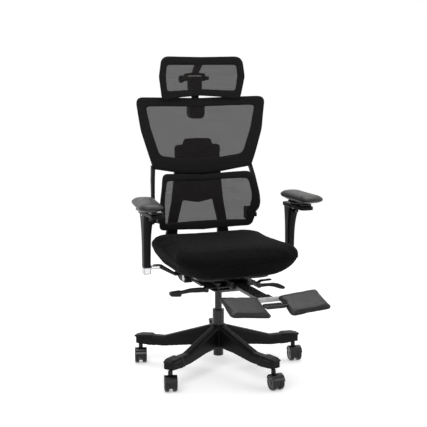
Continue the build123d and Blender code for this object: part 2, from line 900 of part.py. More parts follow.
def make_side_arms():
    """Slim curved arms from the upper panel's lower corners to the lumbar pivots."""
    front_view = [
        (201, 806),
        (216, 806),
        (225, 750),
        (233, 680),
        (234, 640),
        (226, 590),
        (214, 590),
        (219, 612),
        (221, 650),
        (219, 690),
        (211, 750),
    ]
    arm = front_prism(front_view, [0, 0, 60, 80, 60, 5, 5, 40, 60, 60, 60])
    side_view = [
        (178, 806),
        (158, 760),
        (131, 690),
        (122, 650),
        (128, 620),
        (156, 598),
        (180, 590),
        (180, 616),
        (150, 632),
        (143, 652),
        (150, 690),
        (177, 752),
        (200, 806),
    ]
    arm &= side_prism(side_view, [0, 60, 60, 30, 20, 12, 3, 10, 16, 20, 60, 60, 0])
    low = lumbar_pivot_z - lumbar_block_height / 2
    high = lumbar_pivot_z + lumbar_block_height / 2
    front = lumbar_pivot_y - lumbar_block_depth / 2
    rear = lumbar_pivot_y + lumbar_block_depth / 2
    fork = block(lumbar_ear_inner, lumbar_ear_outer, front, rear, low, high)
    slot_inner = lumbar_ear_inner + lumbar_ear_wall
    slot_outer = lumbar_ear_outer - lumbar_ear_wall
    fork -= block(slot_inner, slot_outer, front - 1, rear - lumbar_ear_wall, low - 1, high + 1)
    fork += pin_x(lumbar_pin_radius, slot_inner - 2, slot_outer + 2, lumbar_pivot_y, lumbar_pivot_z)
    return left_and_right(arm + fork)


def make_lower_frame():
    frame = panel_frame(
        lower_levels, lower_half_width, lower_thickness, lower_outline, lower_radii, lower_window, lower_window_radii
    )
    ear_view = [
        (90, lumbar_pivot_z - 12),
        (90, lumbar_pivot_z + 12),
        (lumbar_pivot_y + lumbar_eye_radius, lumbar_pivot_z + lumbar_eye_radius),
        (lumbar_pivot_y + lumbar_eye_radius, lumbar_pivot_z - lumbar_eye_radius),
    ]
    ear = side_prism(
        ear_view,
        [0, 0, lumbar_eye_radius - 1, lumbar_eye_radius - 1],
        lumbar_ear_inner + lumbar_ear_wall + gap,
        lumbar_ear_outer - lumbar_ear_wall - gap,
    )
    in_front = curved_sheet(lower_levels, lower_half_width, 0, big / 2)
    ear -= Pos(0, -big / 2 + lower_thickness / 2, 0) * in_front
    ear -= pin_x(lumbar_pin_radius + running, 150, 230, lumbar_pivot_y, lumbar_pivot_z)
    return frame + left_and_right(ear)


def make_headrest_bracket():
    """Socket behind the upper panel's top edge that the headrest's stem slides in."""
    wide = bracket_half_width
    narrow = bracket_half_width - 11
    shoulder = bracket_bottom + 14
    half_points = [(wide, bracket_top), (wide, shoulder), (narrow, bracket_bottom)]
    points = half_points + [(-x, z) for x, z in reversed(half_points)]
    rear = stem_y + stem_thickness / 2 + bracket_wall
    bracket = front_prism(points, [4, 14, 14, 14, 14, 4], bracket_front, rear)
    half = stem_width / 2 + gap
    half_slot = stem_thickness / 2 + gap
    slot = block(-half, half, stem_y - half_slot, stem_y + half_slot, bracket_bottom + bracket_wall, big)
    return bracket - slot


def make_back_screws():
    """Four screws that hold the yoke's plate to the upper panel's boss."""
    screws = Part()
    for x in (-screw_x, screw_x):
        for z in screw_rows:
            shank = pin_y(screw_radius, x, yoke_front - 10, yoke_rear, z)
            screws += shank + pin_y(screw_head_radius, x, yoke_rear, yoke_rear + 3.5, z)
    return screws


# ---------------------------------------------------------------- headrest
def make_headrest_stem():
    """Flat stem, clamp and pivot bar with a knob at one end."""
    half = stem_thickness / 2
    half_stem = stem_width / 2
    stem = block(-half_stem, half_stem, stem_y - half, stem_y + half, stem_bottom, head_pivot_z - 10)
    clamp_points = [
        (clamp_half_width, clamp_top),
        (clamp_half_width, clamp_bottom),
        (-clamp_half_width, clamp_bottom),
        (-clamp_half_width, clamp_top),
    ]
    clamp = front_prism(clamp_points, [4, 16, 16, 4], stem_y - 9, head_pivot_y + 11)
    bar = pin_x(head_pin_radius, head_bar_right - head_bar_tuck, head_bar_left, head_pivot_y, head_pivot_z)
    knob_end = head_bar_right - head_knob_length
    knob = pin_x(head_knob_radius, knob_end, head_bar_right, head_pivot_y, head_pivot_z - 3)
    return stem + clamp + bar + fillet(knob.edges(), 2)


def make_headrest_frame():
    return panel_frame(
        head_levels, head_half_width, head_thickness, head_outline, head_radii, head_window, head_window_radii
    )


def make_headrest_carrier():
    """Strip behind the headrest that forks round the clamp and turns on the pivot bar."""
    frame_rear = head_levels[-1][2] + head_thickness
    half_view = [
        (carrier_half_width, carrier_top),
        (carrier_half_width - 3, head_pivot_z + 22),
        (knuckle_outer - 4, head_pivot_z + 20),
        (knuckle_outer, head_pivot_z),
        (knuckle_inner, head_pivot_z),
        (knuckle_inner, head_pivot_z + 11),
        (0, head_pivot_z + 11),
    ]
    carrier = front_prism(both_sides(half_view), both_radii(half_view, [0, 4, 10, 0, 0, 0, 0]))
    side_view = [
        (frame_rear - 2, carrier_top),
        (frame_rear - 2, carrier_top - 18),
        (head_pivot_y - 12, head_pivot_z + 16),
        (head_pivot_y - 12, head_pivot_z),
        (head_pivot_y + 8, head_pivot_z),
        (head_pivot_y + 8, head_pivot_z + 20),
        (head_pivot_y - 6, head_pivot_z + 26),
        (frame_rear + 6, carrier_top),
    ]
    carrier &= side_prism(side_view, 0)
    barrel = pin_x(head_pin_radius + 4, knuckle_inner, knuckle_outer, head_pivot_y, head_pivot_z)
    carrier += left_and_right(barrel)
    return carrier - pin_x(head_pin_radius + running, -big, big, head_pivot_y, head_pivot_z)


# ---------------------------------------------------------------- levers
def make_height_lever():
    """Straight lever with a flat grip, at the sitter's right."""
    x = -lever_pivot_x
    z = lever_pivot_z
    front_view = [
        (x + 7, z + 7),
        (x - 20, z + 11),
        (-172, z + 11),
        (-205, z + 5),
        (-212, z + 6),
        (-253, z + 3),
        (-253, z - 12),
        (-212, z - 16),
        (-205, z - 8),
        (-172, z - 5),
        (x - 20, z - 7),
        (x + 7, z - 7),
    ]
    lever = front_prism(front_view, [3, 20, 30, 3, 3, 5, 6, 3, 3, 30, 20, 3])
    plan = [
        (x + 8, lever_y - lever_thickness / 2),
        (x + 8, lever_y + lever_thickness / 2),
        (-122, lever_y + lever_thickness / 2),
        (-206, lever_y + 5),
        (-214, lever_y + 12),
        (-255, lever_y + 12),
        (-255, lever_y - 12),
        (-214, lever_y - 12),
        (-206, lever_y - 5),
        (-122, lever_y - lever_thickness / 2),
    ]
    lever &= plan_prism(plan, [0, 0, 20, 8, 4, 9, 9, 4, 8, 20], 300, 420)
    return lever - pin_y(lever_pin_radius + running, x, -big, big, z)


def make_tilt_lever():
    """Paddle lever that droops towards its tip, at the sitter's left."""
    x = lever_pivot_x
    z = lever_pivot_z
    front_view = [
        (x - 7, z + 7),
        (150, z + 5),
        (174, z + 5),
        (197, z),
        (212, z - 8),
        (219, z - 15),
        (210, z - 20),
        (194, z - 17),
        (170, z - 9),
        (148, z - 5),
        (x - 7, z - 7),
    ]
    lever = front_prism(front_view, [3, 30, 20, 20, 6, 3, 6, 20, 20, 30, 3])
    plan = [
        (x - 8, lever_y - lever_thickness / 2),
        (x + 8, lever_y - lever_thickness / 2),
        (170, lever_y - 8),
        (192, lever_y - 16),
        (221, lever_y - 16),
        (221, lever_y + 12),
        (192, lever_y + 12),
        (170, lever_y + 8),
        (x + 8, lever_y + lever_thickness / 2),
        (x - 8, lever_y + lever_thickness / 2),
    ]
    lever &= plan_prism(plan, [0, 10, 20, 12, 12, 12, 12, 20, 10, 0], 300, 420)
    return lever - pin_y(lever_pin_radius + running, x, -big, big, z)


def make_slide_lever():
    """Flat strap for the seat's depth, cranked up from its pivot."""
    x = lever_pivot_x
    z = lever_pivot_z
    half = lever_thickness / 2
    points = [
        (x - 7, z + 5),
        (x + 9, z + 6),
        (132, z + 14),
        (177, z + 15),
        (177, z + 9),
        (134, z + 7),
        (x + 11, z - 5),
        (x - 7, z - 5),
    ]
    lever = front_prism(points, [3, 6, 6, 2, 2, 6, 6, 3], slide_lever_y - half, slide_lever_y + half)
    return lever - pin_y(lever_pin_radius + running, x, -big, big, z)


# ---------------------------------------------------------------- footrest
def make_footrest_rail():
    """Channel that pulls out from under the seat, with an end cap that saddles the cross tube."""
    half = rail_half_width
    top = rail_bottom + rail_height
    rail = block(-half, half, rail_front, rail_rear, rail_bottom, top)
    inner = half - rail_wall
    half_cap = half + rail_cap_proud
    cap_rear = rail_front + rail_cap_length
    rail -= block(-inner, inner, cap_rear, rail_rear, rail_bottom, top - rail_wall)
    rail += block(-half_cap, half_cap, rail_front, cap_rear, rail_bottom, top + 3)
    return rail - pin_x(footrest_tube_radius, -big, big, footrest_axis_y, footrest_axis_z)


def make_footrest_tube():
    reach = footrest_tube_half_length
    tube = pin_x(footrest_tube_radius, -reach, reach, footrest_axis_y, footrest_axis_z)
    return tube - pin_x(footrest_tube_radius - 2, -reach, reach, footrest_axis_y, footrest_axis_z)


def place_foot_piece(side, solid):
    """Tip a footrest piece: front edge down and outer edge up."""
    spot = Pos(side * foot_pad_x, foot_pad_y, foot_pad_z)
    return spot * Rot(foot_pad_pitch, 0, 0) * Rot(0, -side * foot_pad_roll, 0) * solid


def make_foot_pad(side):
    faces = []
    for z, half_width, half_length, corner in foot_pad_outlines:
        faces.append(Pos(0, 0, z) * RectangleRounded(2 * half_width, 2 * half_length, corner))
    return place_foot_piece(side, loft(faces, ruled=True))


def make_foot_frame():
    """Plates under both pads, their joining bar, and the knuckles on the tube."""
    under = foot_pad_outlines[0][0]
    frame = Part()
    for side in (-1, 1):
        plate = Pos(0, 0, under - foot_plate_thickness / 2) * Box(
            2 * foot_plate_half_width, 2 * foot_plate_half_length, foot_plate_thickness
        )
        plate = fillet(plate.edges().filter_by(Axis.Z), 14)
        frame += place_foot_piece(side, plate)
    outer_radius = footrest_tube_radius + foot_knuckle_wall
    knuckle_view = [
        (footrest_axis_y + 2, footrest_axis_z - outer_radius),
        (footrest_axis_y + 2, footrest_axis_z),
        (footrest_axis_y - 16, footrest_axis_z + 4),
        (foot_bar_front + foot_bar_depth / 2, foot_bar_bottom + foot_bar_thickness),
        (foot_bar_front + foot_bar_depth / 2, foot_bar_bottom),
    ]
    knuckle = side_prism(knuckle_view, 0, foot_knuckle_inner, foot_knuckle_outer)
    knuckle += pin_x(outer_radius, foot_knuckle_inner, foot_knuckle_outer, footrest_axis_y, footrest_axis_z)
    frame += left_and_right(knuckle)
    reach = foot_pad_x - foot_plate_half_width + 20
    frame += block(
        -reach,
        reach,
        foot_bar_front,
        foot_bar_front + foot_bar_depth,
        foot_bar_bottom,
        foot_bar_bottom + foot_bar_thickness,
    )
    frame -= make_foot_pad(1)
    frame -= make_foot_pad(-1)
    return frame - pin_x(footrest_tube_radius + running, -big, big, footrest_axis_y, footrest_axis_z)


# ---------------------------------------------------------------- all nodes
def all_nodes():
    """Name and solids of every piece."""
    nodes = {
        "star_base": make_star_base(),
        "column_tube": make_column_tube(),
        "column_bush": make_column_bush(),
        "piston_rod": make_piston_rod(),
        "gas_cylinder": make_gas_cylinder(),
        "release_pin": make_release_pin(),
        "mechanism_housing": make_mechanism(),
        "recline_axle": make_recline_axle(),
        "tilt_springs": make_tilt_springs(),
        "seat_slide_bars": make_slide_bars(),
        "seat_pan": make_seat_pan(),
        "seat_cushion": make_seat_cushion(),
        "footrest_guides": make_footrest_guides(),
        "back_yoke": make_back_yoke(),
        "upper_frame": make_upper_frame(),
        "upper_mesh": panel_mesh(upper_levels, upper_half_width, upper_window, upper_window_radii),
        "back_screws": make_back_screws(),
        "lower_frame": make_lower_frame(),
        "lower_mesh": panel_mesh(lower_levels, lower_half_width, lower_window, lower_window_radii),
        "headrest_bracket": make_headrest_bracket(),
        "headrest_stem": make_headrest_stem(),
        "headrest_frame": make_headrest_frame(),
        "headrest_carrier": make_headrest_carrier(),
        "headrest_mesh": panel_mesh(head_levels, head_half_width, head_window, head_window_radii),
        "height_lever": make_height_lever(),
        "tilt_lever": make_tilt_lever(),
        "slide_lever": make_slide_lever(),
        "footrest_rail": make_footrest_rail(),
        "footrest_tube": make_footrest_tube(),
        "footrest_frame": make_foot_frame(),
    }
    nodes["side_arms"] = make_side_arms() - nodes["upper_frame"]
    nodes["headrest_carrier"] -= nodes["headrest_frame"]
    nodes["back_yoke"] -= nodes["back_screws"]
    nodes["upper_frame"] -= nodes["back_screws"]
    for side, hand in ((-1, "right"), (1, "left")):
        nodes[f"arm_bracket_{hand}"] = make_arm_bracket(side)
        nodes[f"arm_sleeve_{hand}"] = make_arm_sleeve(side)
        nodes[f"arm_trigger_{hand}"] = make_arm_trigger(side)
        nodes[f"pad_slider_{hand}"] = make_pad_slider(side)
        nodes[f"pad_plate_{hand}"] = make_pad_plate(side)
        nodes[f"arm_pad_{hand}"] = make_arm_pad(side)
        nodes[f"footrest_pad_{hand}"] = make_foot_pad(side)
    castor_body = make_castor_body()
    for k in range(leg_count):
        placed = [place_castor(k, solid) for solid in castor_body]
        nodes[f"castor_{k + 1}_body"] = placed
        nodes[f"castor_{k + 1}_wheel_left"] = place_castor(k, make_castor_wheel(1))
        nodes[f"castor_{k + 1}_wheel_right"] = place_castor(k, make_castor_wheel(-1))
    return nodes


os.makedirs("parts", exist_ok=True)
for name, shape in all_nodes().items():
    pieces = shape if isinstance(shape, list) else [shape]
    export_step(Compound(children=[p for piece in pieces for p in piece.solids()]), f"parts/{name}.step")
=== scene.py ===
"""Dresses a reclining office chair with a pull-out footrest.

Lengths are metres in the part's own frame: +Z is up, the chair faces -Y and the
sitter's right hand is at -X. Each sub-assembly is a class that builds its meshes
and gives them their finishes; main() builds them in order.
"""

import json
import logging
import math
from dataclasses import dataclass
from enum import Enum
from typing import Callable, Sequence

import bmesh
import bpy
from mathutils import Matrix, Vector


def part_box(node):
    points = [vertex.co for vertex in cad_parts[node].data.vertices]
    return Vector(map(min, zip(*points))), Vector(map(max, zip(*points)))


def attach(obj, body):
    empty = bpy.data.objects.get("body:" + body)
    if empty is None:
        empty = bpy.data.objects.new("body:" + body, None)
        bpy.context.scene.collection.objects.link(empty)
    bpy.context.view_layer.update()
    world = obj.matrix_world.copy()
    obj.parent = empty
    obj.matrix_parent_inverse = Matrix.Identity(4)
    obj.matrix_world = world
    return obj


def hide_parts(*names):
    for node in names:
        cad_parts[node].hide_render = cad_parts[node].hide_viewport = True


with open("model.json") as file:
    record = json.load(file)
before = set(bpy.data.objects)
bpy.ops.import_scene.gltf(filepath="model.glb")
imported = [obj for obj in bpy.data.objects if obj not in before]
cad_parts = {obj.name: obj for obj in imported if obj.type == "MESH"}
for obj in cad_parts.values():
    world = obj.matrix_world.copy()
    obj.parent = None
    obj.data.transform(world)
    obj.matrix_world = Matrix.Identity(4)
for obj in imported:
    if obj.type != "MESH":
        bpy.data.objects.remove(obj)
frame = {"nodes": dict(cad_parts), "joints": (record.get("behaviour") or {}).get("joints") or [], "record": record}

log = logging.getLogger("chair")
Colour = tuple[float, float, float]
Socket = bpy.types.NodeSocket
Material = bpy.types.Material
Piece = bpy.types.Object
Shape = bmesh.types.BMesh
HANDS = {"right": -1, "left": 1}
FINISHED: dict[str, Material] = {}
# Attribute marking a pad's cover below its seam, which the leather finish darkens, partly as painted shade.
RIM = "rim"


# ------------------------------------------------------------------ materials
class Nodes:
    """A node tree, with short ways to add, link and combine nodes."""

    def __init__(self, tree: bpy.types.NodeTree) -> None:
        """Take the tree to add to."""
        self.tree = tree

    def node(self, kind: str, **settings: object) -> bpy.types.Node:
        """Add a node and set its properties.

        Args:
            kind: the node's type.
            settings: its properties by name.

        Returns:
            The node.
        """
        made = self.tree.nodes.new(kind)
        for key, value in settings.items():
            setattr(made, key, value)
        return made

    def link(self, source: Socket, target: Socket) -> None:
        """Join an output to an input."""
        self.tree.links.new(source, target)

    def sum(self, operation: str, a: Socket, b: Socket | float) -> Socket:
        """Arithmetic on two values.

        Args:
            operation: ADD, MULTIPLY, MAXIMUM and so on.
            a: the first value.
            b: the second one, or a number.

        Returns:
            The result.
        """
        maths = self.node("ShaderNodeMath", operation=operation)
        self.link(a, maths.inputs[0])
        if isinstance(b, float):
            maths.inputs[1].default_value = b
        else:
            self.link(b, maths.inputs[1])
        return maths.outputs[0]

    def ranged(
        self, source: Socket, start: float, end: float, low: float, high: float, kind: str = "LINEAR"
    ) -> Socket:
        """Rescale a value that runs from start to end, to run from low to high.

        Args:
            source: the value.
            start: where it starts.
            end: where it ends.
            low: the new value at the start, and before it.
            high: the new value at the end, and past it.
            kind: how it runs in between.

        Returns:
            The new value.
        """
        scaled = self.node("ShaderNodeMapRange", interpolation_type=kind)
        for name, value in (("From Min", start), ("From Max", end), ("To Min", low), ("To Max", high)):
            scaled.inputs[name].default_value = value
        self.link(source, scaled.inputs["Value"])
        return scaled.outputs[0]

    def seen(self) -> Socket:
        """Tell what the camera sees from what only lights other things.

        Returns:
            1 where it looks, directly, through glass or by way of metal, and otherwise 0.
        """
        path = self.node("ShaderNodeLightPath").outputs
        direct = self.sum("MAXIMUM", path["Is Camera Ray"], path["Is Glossy Ray"])
        return self.sum("MAXIMUM", direct, path["Is Transmission Ray"])


class Bench(Nodes):
    """The node tree of one material, with its patterns and its surface."""

    def __init__(self, name: str) -> None:
        """Start an empty material with a Principled shader on its output.

        Args:
            name: the material's name.
        """
        self.material = bpy.data.materials.new(name)
        self.material.use_nodes = True
        super().__init__(self.material.node_tree)
        self.tree.nodes.clear()
        output = self.node("ShaderNodeOutputMaterial")
        self.shader = self.node("ShaderNodeBsdfPrincipled")
        self.link(self.shader.outputs[0], output.inputs["Surface"])
        self.place = self.node("ShaderNodeTexCoord").outputs["Object"]
        self.base = self.shader.inputs["Base Color"]

    def stretched(self, scale: Sequence[float]) -> Socket:
        """Multiply object coordinates along each axis.

        Args:
            scale: the factors along X, Y and Z.

        Returns:
            The new coordinates.
        """
        mapping = self.node("ShaderNodeMapping")
        mapping.inputs["Scale"].default_value = scale
        self.link(self.place, mapping.inputs["Vector"])
        return mapping.outputs[0]

    def noise(self, scale: float, detail: float = 3.0, place: Socket | None = None) -> Socket:
        """Noise of so many cells a metre.

        Args:
            scale: cells a metre.
            detail: octaves of finer noise.
            place: coordinates, or the piece's own where left out.

        Returns:
            The factor, about 0.5 on average.
        """
        texture = self.node("ShaderNodeTexNoise")
        texture.inputs["Scale"].default_value = scale
        texture.inputs["Detail"].default_value = detail
        self.link(place or self.place, texture.inputs["Vector"])
        return texture.outputs["Fac"]

    def pebbles(self, scale: float) -> Socket:
        """Pattern of rounded cells.

        Args:
            scale: cells a metre.

        Returns:
            The distance to the nearest edge of a cell.
        """
        texture = self.node("ShaderNodeTexVoronoi", feature="DISTANCE_TO_EDGE")
        texture.inputs["Scale"].default_value = scale
        self.link(self.place, texture.inputs["Vector"])
        return texture.outputs["Distance"]

    def wave(self, direction: str, pitch: float) -> Socket:
        """Smooth stripes across one axis.

        Args:
            direction: X, Y or Z.
            pitch: distance from stripe to stripe, in metres.

        Returns:
            The stripes' height, from 0 to 1.
        """
        stripes = self.node("ShaderNodeTexWave", bands_direction=direction, wave_profile="SIN")
        stripes.inputs["Scale"].default_value = math.pi / 10 / pitch
        stripes.inputs["Distortion"].default_value = 0.0
        self.link(self.place, stripes.inputs["Vector"])
        return stripes.outputs["Fac"]

    def between(self, source: Socket, low: float, high: float) -> Socket:
        """Rescale a noise, which runs from about 0.3 to 0.7, to a range of values."""
        return self.ranged(source, 0.3, 0.7, low, high)

    def blended(self, factor: Socket, low: Socket | Colour, high: Colour) -> Socket:
        """Colour between two by a factor.

        Args:
            factor: 0 for the low colour and 1 for the high one.
            low: a colour, or an output that gives one.
            high: a colour.

        Returns:
            The mixed colour.
        """
        mixed = self.node("ShaderNodeMix", data_type="RGBA")
        self.link(factor, mixed.inputs[0])
        if isinstance(low, tuple):
            mixed.inputs[6].default_value = (*low, 1.0)
        else:
            self.link(low, mixed.inputs[6])
        mixed.inputs[7].default_value = (*high, 1.0)
        return mixed.outputs[2]

    def bump(self, height: Socket, distance: float, strength: float = 1.0) -> None:
        """Add a height to the shader's surface, over any bump it already has.

        Args:
            height: the pattern of heights.
            distance: its full height, in metres.
            strength: how much of it counts.
        """
        bumped = self.node("ShaderNodeBump")
        bumped.inputs["Distance"].default_value = distance
        bumped.inputs["Strength"].default_value = strength
        self.link(height, bumped.inputs["Height"])
        normal = self.shader.inputs["Normal"]
        if normal.is_linked:
            self.link(normal.links[0].from_socket, bumped.inputs["Normal"])
        self.link(bumped.outputs[0], normal)

    def rounded_edges(self, radius: float) -> None:
        """Catch the light on sharp edges as if they were rounded.

        Args:
            radius: the edges' radius.
        """
        edge = self.node("ShaderNodeBevel", samples=4)
        edge.inputs["Radius"].default_value = radius
        self.link(edge.outputs[0], self.shader.inputs["Normal"])

    def worn_and_reflecting_edges(self, edge_blend: Colour, amount: float, low: float = 0.52, high: float = 0.62) -> None:
        """Blend the outward edges of the base colour into another: rubbed lighter where plastics are worn, and
        darkened on chrome as a painted dark reflection.

        Args:
            edge_blend: colour laid on the edges, lighter where worn, and near black on chrome as a painted dark
                reflection.
            amount: share of that colour at the sharpest edge.
            low: pointedness where the blend starts.
            high: pointedness where it is full.
        """
        pointed = self.node("ShaderNodeNewGeometry").outputs["Pointiness"]
        edges = self.ranged(pointed, low, high, 0.0, amount)
        patchy = self.sum("MULTIPLY", edges, self.between(self.noise(70.0, 4.0), 0.3, 1.2))
        # Edge colour laid on in patches: lighter wear on plastics, and on chrome a painted dark reflection.
        self.overlay(patchy, edge_blend)

    def overlay(self, factor: Socket, colour: Colour) -> None:
        """Lay a plain colour over the base colour by a factor."""
        self.link(self.blended(factor, self.base.links[0].from_socket, colour), self.base)

    def set(self, **values: float) -> None:
        """Set the shader's own sockets; an underscore stands for a space."""
        for key, value in values.items():
            self.shader.inputs[key.replace("_", " ")].default_value = value


def shaded(colour: Colour, share: float, added: float = 0.0) -> Colour:
    """A colour multiplied by a share, with a little grey added."""
    return tuple(part * share + added for part in colour)


@dataclass(frozen=True)
class Finish:
    """What every finish has: a name, a colour and how rough it is."""

    name: str
    colour: Colour
    roughness: float

    def made(self) -> Material:
        """Build the material at its first use, and share it after that.

        Returns:
            The material.
        """
        if self.name not in FINISHED:
            bench = Bench(f"{self.name}_finish")
            self.build(bench)
            FINISHED[self.name] = bench.material
        return FINISHED[self.name]

    def build(self, bench: Bench) -> None:
        """Add the finish's own nodes."""
        raise NotImplementedError

    def varied(self, bench: Bench, scale: float, spread: float, edge_blend: float = 0.0) -> None:
        """Vary colour and roughness a little over the surface.

        Args:
            bench: the material's nodes.
            scale: patches a metre.
            spread: share of the colour that it varies by.
            edge_blend: how far its edges are rubbed lighter, from 0 to 1.
        """
        patches = bench.noise(scale)
        low, high = shaded(self.colour, 1 - spread), shaded(self.colour, 1 + spread)
        bench.link(bench.blended(patches, low, high), bench.base)
        if edge_blend > 0:
            bench.worn_and_reflecting_edges(shaded(self.colour, 3, 0.01), edge_blend)
        rough = bench.between(bench.noise(scale * 2.7), self.roughness * 0.88, self.roughness * 1.12)
        bench.link(rough, bench.shader.inputs["Roughness"])


@dataclass(frozen=True)
class Moulded(Finish):
    """Moulded plastic with a fine spark-eroded texture."""

    grain: float = 1500.0
    depth: float = 0.00012
    edge: float = 0.0014
    shine: float = 0.13

    def build(self, bench: Bench) -> None:
        """Add the finish's own nodes.

        Args:
            bench: the material's nodes.
        """
        self.varied(bench, 35.0, 0.25, edge_blend=0.5)
        bench.rounded_edges(self.edge)
        bench.bump(bench.noise(self.grain, 2.0), self.depth, 0.5)
        bench.set(IOR=1.46, Specular_IOR_Level=self.shine)


@dataclass(frozen=True)
class Wrapped(Finish):
    """Mesh cloth pulled tight over a moulded frame: fine threads lying along the rows."""

    pitch: float = 0.0021

    def build(self, bench: Bench) -> None:
        """Add the finish's own nodes.

        Args:
            bench: the material's nodes.
        """
        columns = bench.sum("MULTIPLY", bench.wave("X", self.pitch), 0.55)
        rows = bench.sum("MAXIMUM", bench.wave("Z", self.pitch), columns)
        pulls = bench.noise(1.0, 3.0, bench.stretched((14.0, 14.0, 260.0)))
        cloth = bench.sum("MULTIPLY", rows, bench.between(pulls, 0.55, 1.15))
        bench.link(bench.blended(cloth, shaded(self.colour, 0.5), shaded(self.colour, 2.3)), bench.base)
        bench.bump(cloth, 0.0004, 0.55)
        bench.set(Roughness=self.roughness, Specular_IOR_Level=0.08)


@dataclass(frozen=True)
class Glossy(Finish):
    """Smooth black plastic with a clear, slightly uneven skin."""

    def build(self, bench: Bench) -> None:
        """Add the finish's own nodes.

        Args:
            bench: the material's nodes.
        """
        self.varied(bench, 60.0, 0.2, edge_blend=0.4)
        bench.rounded_edges(0.0006)
        bench.bump(bench.noise(90.0, 1.0), 0.0004, 0.25)
        bench.set(Coat_Weight=0.3, Coat_Roughness=0.08, IOR=1.5, Specular_IOR_Level=0.2)


@dataclass(frozen=True)
class Powder(Finish):
    """Powder-coated steel with orange-peel ripple."""

    shine: float = 0.16

    def build(self, bench: Bench) -> None:
        """Add the finish's own nodes.

        Args:
            bench: the material's nodes.
        """
        self.varied(bench, 45.0, 0.2, edge_blend=0.3)
        bench.rounded_edges(0.0008)
        bench.bump(bench.noise(520.0, 2.0), 0.00015, 0.45)
        bench.set(IOR=1.5, Specular_IOR_Level=self.shine)


@dataclass(frozen=True)
class Metal(Finish):
    """Bare or plated metal.

    Attributes:
        brushing: the stretch of its fine scratches.
        depth: their depth.
        rim: how far its edges are darkened in colour, a painted dark reflection of the dark surroundings that
            plating mirrors edge-on.
    """

    brushing: float = 1.0
    depth: float = 0.00004
    rim: float = 0.0

    def build(self, bench: Bench) -> None:
        """Add the finish's own nodes.

        Args:
            bench: the material's nodes.
        """
        self.varied(bench, 80.0, 0.06)
        # Painted dark reflection: the edges' colour is pulled towards near black, for the dark surroundings that
        # plating mirrors edge-on.
        if self.rim > 0:
            bench.worn_and_reflecting_edges((0.02, 0.02, 0.022), self.rim, 0.505, 0.53)
        bench.rounded_edges(0.0008)
        scratches = bench.noise(300.0, 4.0, bench.stretched((self.brushing, 1.0, self.brushing)))
        bench.bump(scratches, self.depth, 0.4)
        bench.set(Metallic=1.0)


@dataclass(frozen=True)
class Hide(Finish):
    """Leather-look cover: pebbled grain, soft creases, a satin shine, and a darker rim below the seam that is
    partly the side band's own tone and partly painted shade.
    """

    pebble: float = 900.0
    depth: float = 0.0003
    shine: float = 0.3

    def build(self, bench: Bench) -> None:
        """Add the finish's own nodes.

        Args:
            bench: the material's nodes.
        """
        self.varied(bench, 22.0, 0.22)
        # Darken the cover below the seam: partly the side band's own darker tone, partly painted shade on sides
        # turned from the lamps.
        rim = bench.node("ShaderNodeAttribute", attribute_name=RIM).outputs["Fac"]
        bench.overlay(rim, shaded(self.colour, 0.3))
        bench.bump(bench.pebbles(self.pebble), self.depth, 0.3)
        bench.bump(bench.noise(38.0, 4.0), 0.0012, 0.2)
        bench.set(IOR=1.48, Specular_IOR_Level=self.shine, Coat_Weight=0.04, Coat_Roughness=0.35)


@dataclass(frozen=True)
class Woven(Finish):
    """Plain weave on foam: threads across X, Y and Z, slubs and a soft sheen."""

    light: Colour = (0.02, 0.02, 0.02)
    pitch: float = 0.0016

    def build(self, bench: Bench) -> None:
        """Add the finish's own nodes.

        Args:
            bench: the material's nodes.
        """
        across = bench.sum("MULTIPLY", bench.wave("X", self.pitch), bench.wave("Y", self.pitch))
        upright = bench.sum("MULTIPLY", bench.wave("Z", self.pitch), 0.6)
        threads = bench.sum("MAXIMUM", across, upright)
        slubs = bench.noise(260.0, 3.0, bench.stretched((0.25, 1.0, 1.0)))
        cloth = bench.sum("MULTIPLY", threads, bench.between(slubs, 0.5, 1.2))
        bench.link(bench.blended(cloth, self.colour, self.light), bench.base)
        bench.link(bench.between(bench.noise(40.0), 0.82, 0.95), bench.shader.inputs["Roughness"])
        bench.bump(cloth, 0.0006, 0.6)
        bench.bump(bench.noise(16.0, 2.0), 0.004, 0.2)
        bench.set(Sheen_Weight=0.02, Sheen_Roughness=0.5, Specular_IOR_Level=0.04)


@dataclass(frozen=True)
class Net(Finish):
    """Stretched see-through mesh: dark threads with small gaps in rows.

    Attributes:
        light: colour of the lighter rows.
        pitch: distance from gap to gap.
        covered: how much a thread hides.
        open: how much a gap hides.
    """

    light: Colour = (0.03, 0.03, 0.03)
    pitch: float = 0.0026
    covered: float = 0.99
    open: float = 0.66

    def build(self, bench: Bench) -> None:
        """Add the finish's own nodes.

        Args:
            bench: the material's nodes.
        """
        holes = bench.sum("MULTIPLY", bench.wave("X", self.pitch), bench.wave("Z", self.pitch * 0.8))
        bands = bench.noise(1.0, 3.0, bench.stretched((5.0, 5.0, 340.0)))
        hidden = bench.ranged(holes, 0.05, 0.6, self.covered, self.open)
        uneven = bench.sum("MULTIPLY", hidden, bench.between(bands, 0.975, 1.012))
        bench.link(uneven, bench.shader.inputs["Alpha"])
        bench.link(bench.blended(bands, self.colour, self.light), bench.base)
        bench.bump(holes, 0.0005, 0.5)
        bench.set(Roughness=self.roughness, Specular_IOR_Level=0.1)


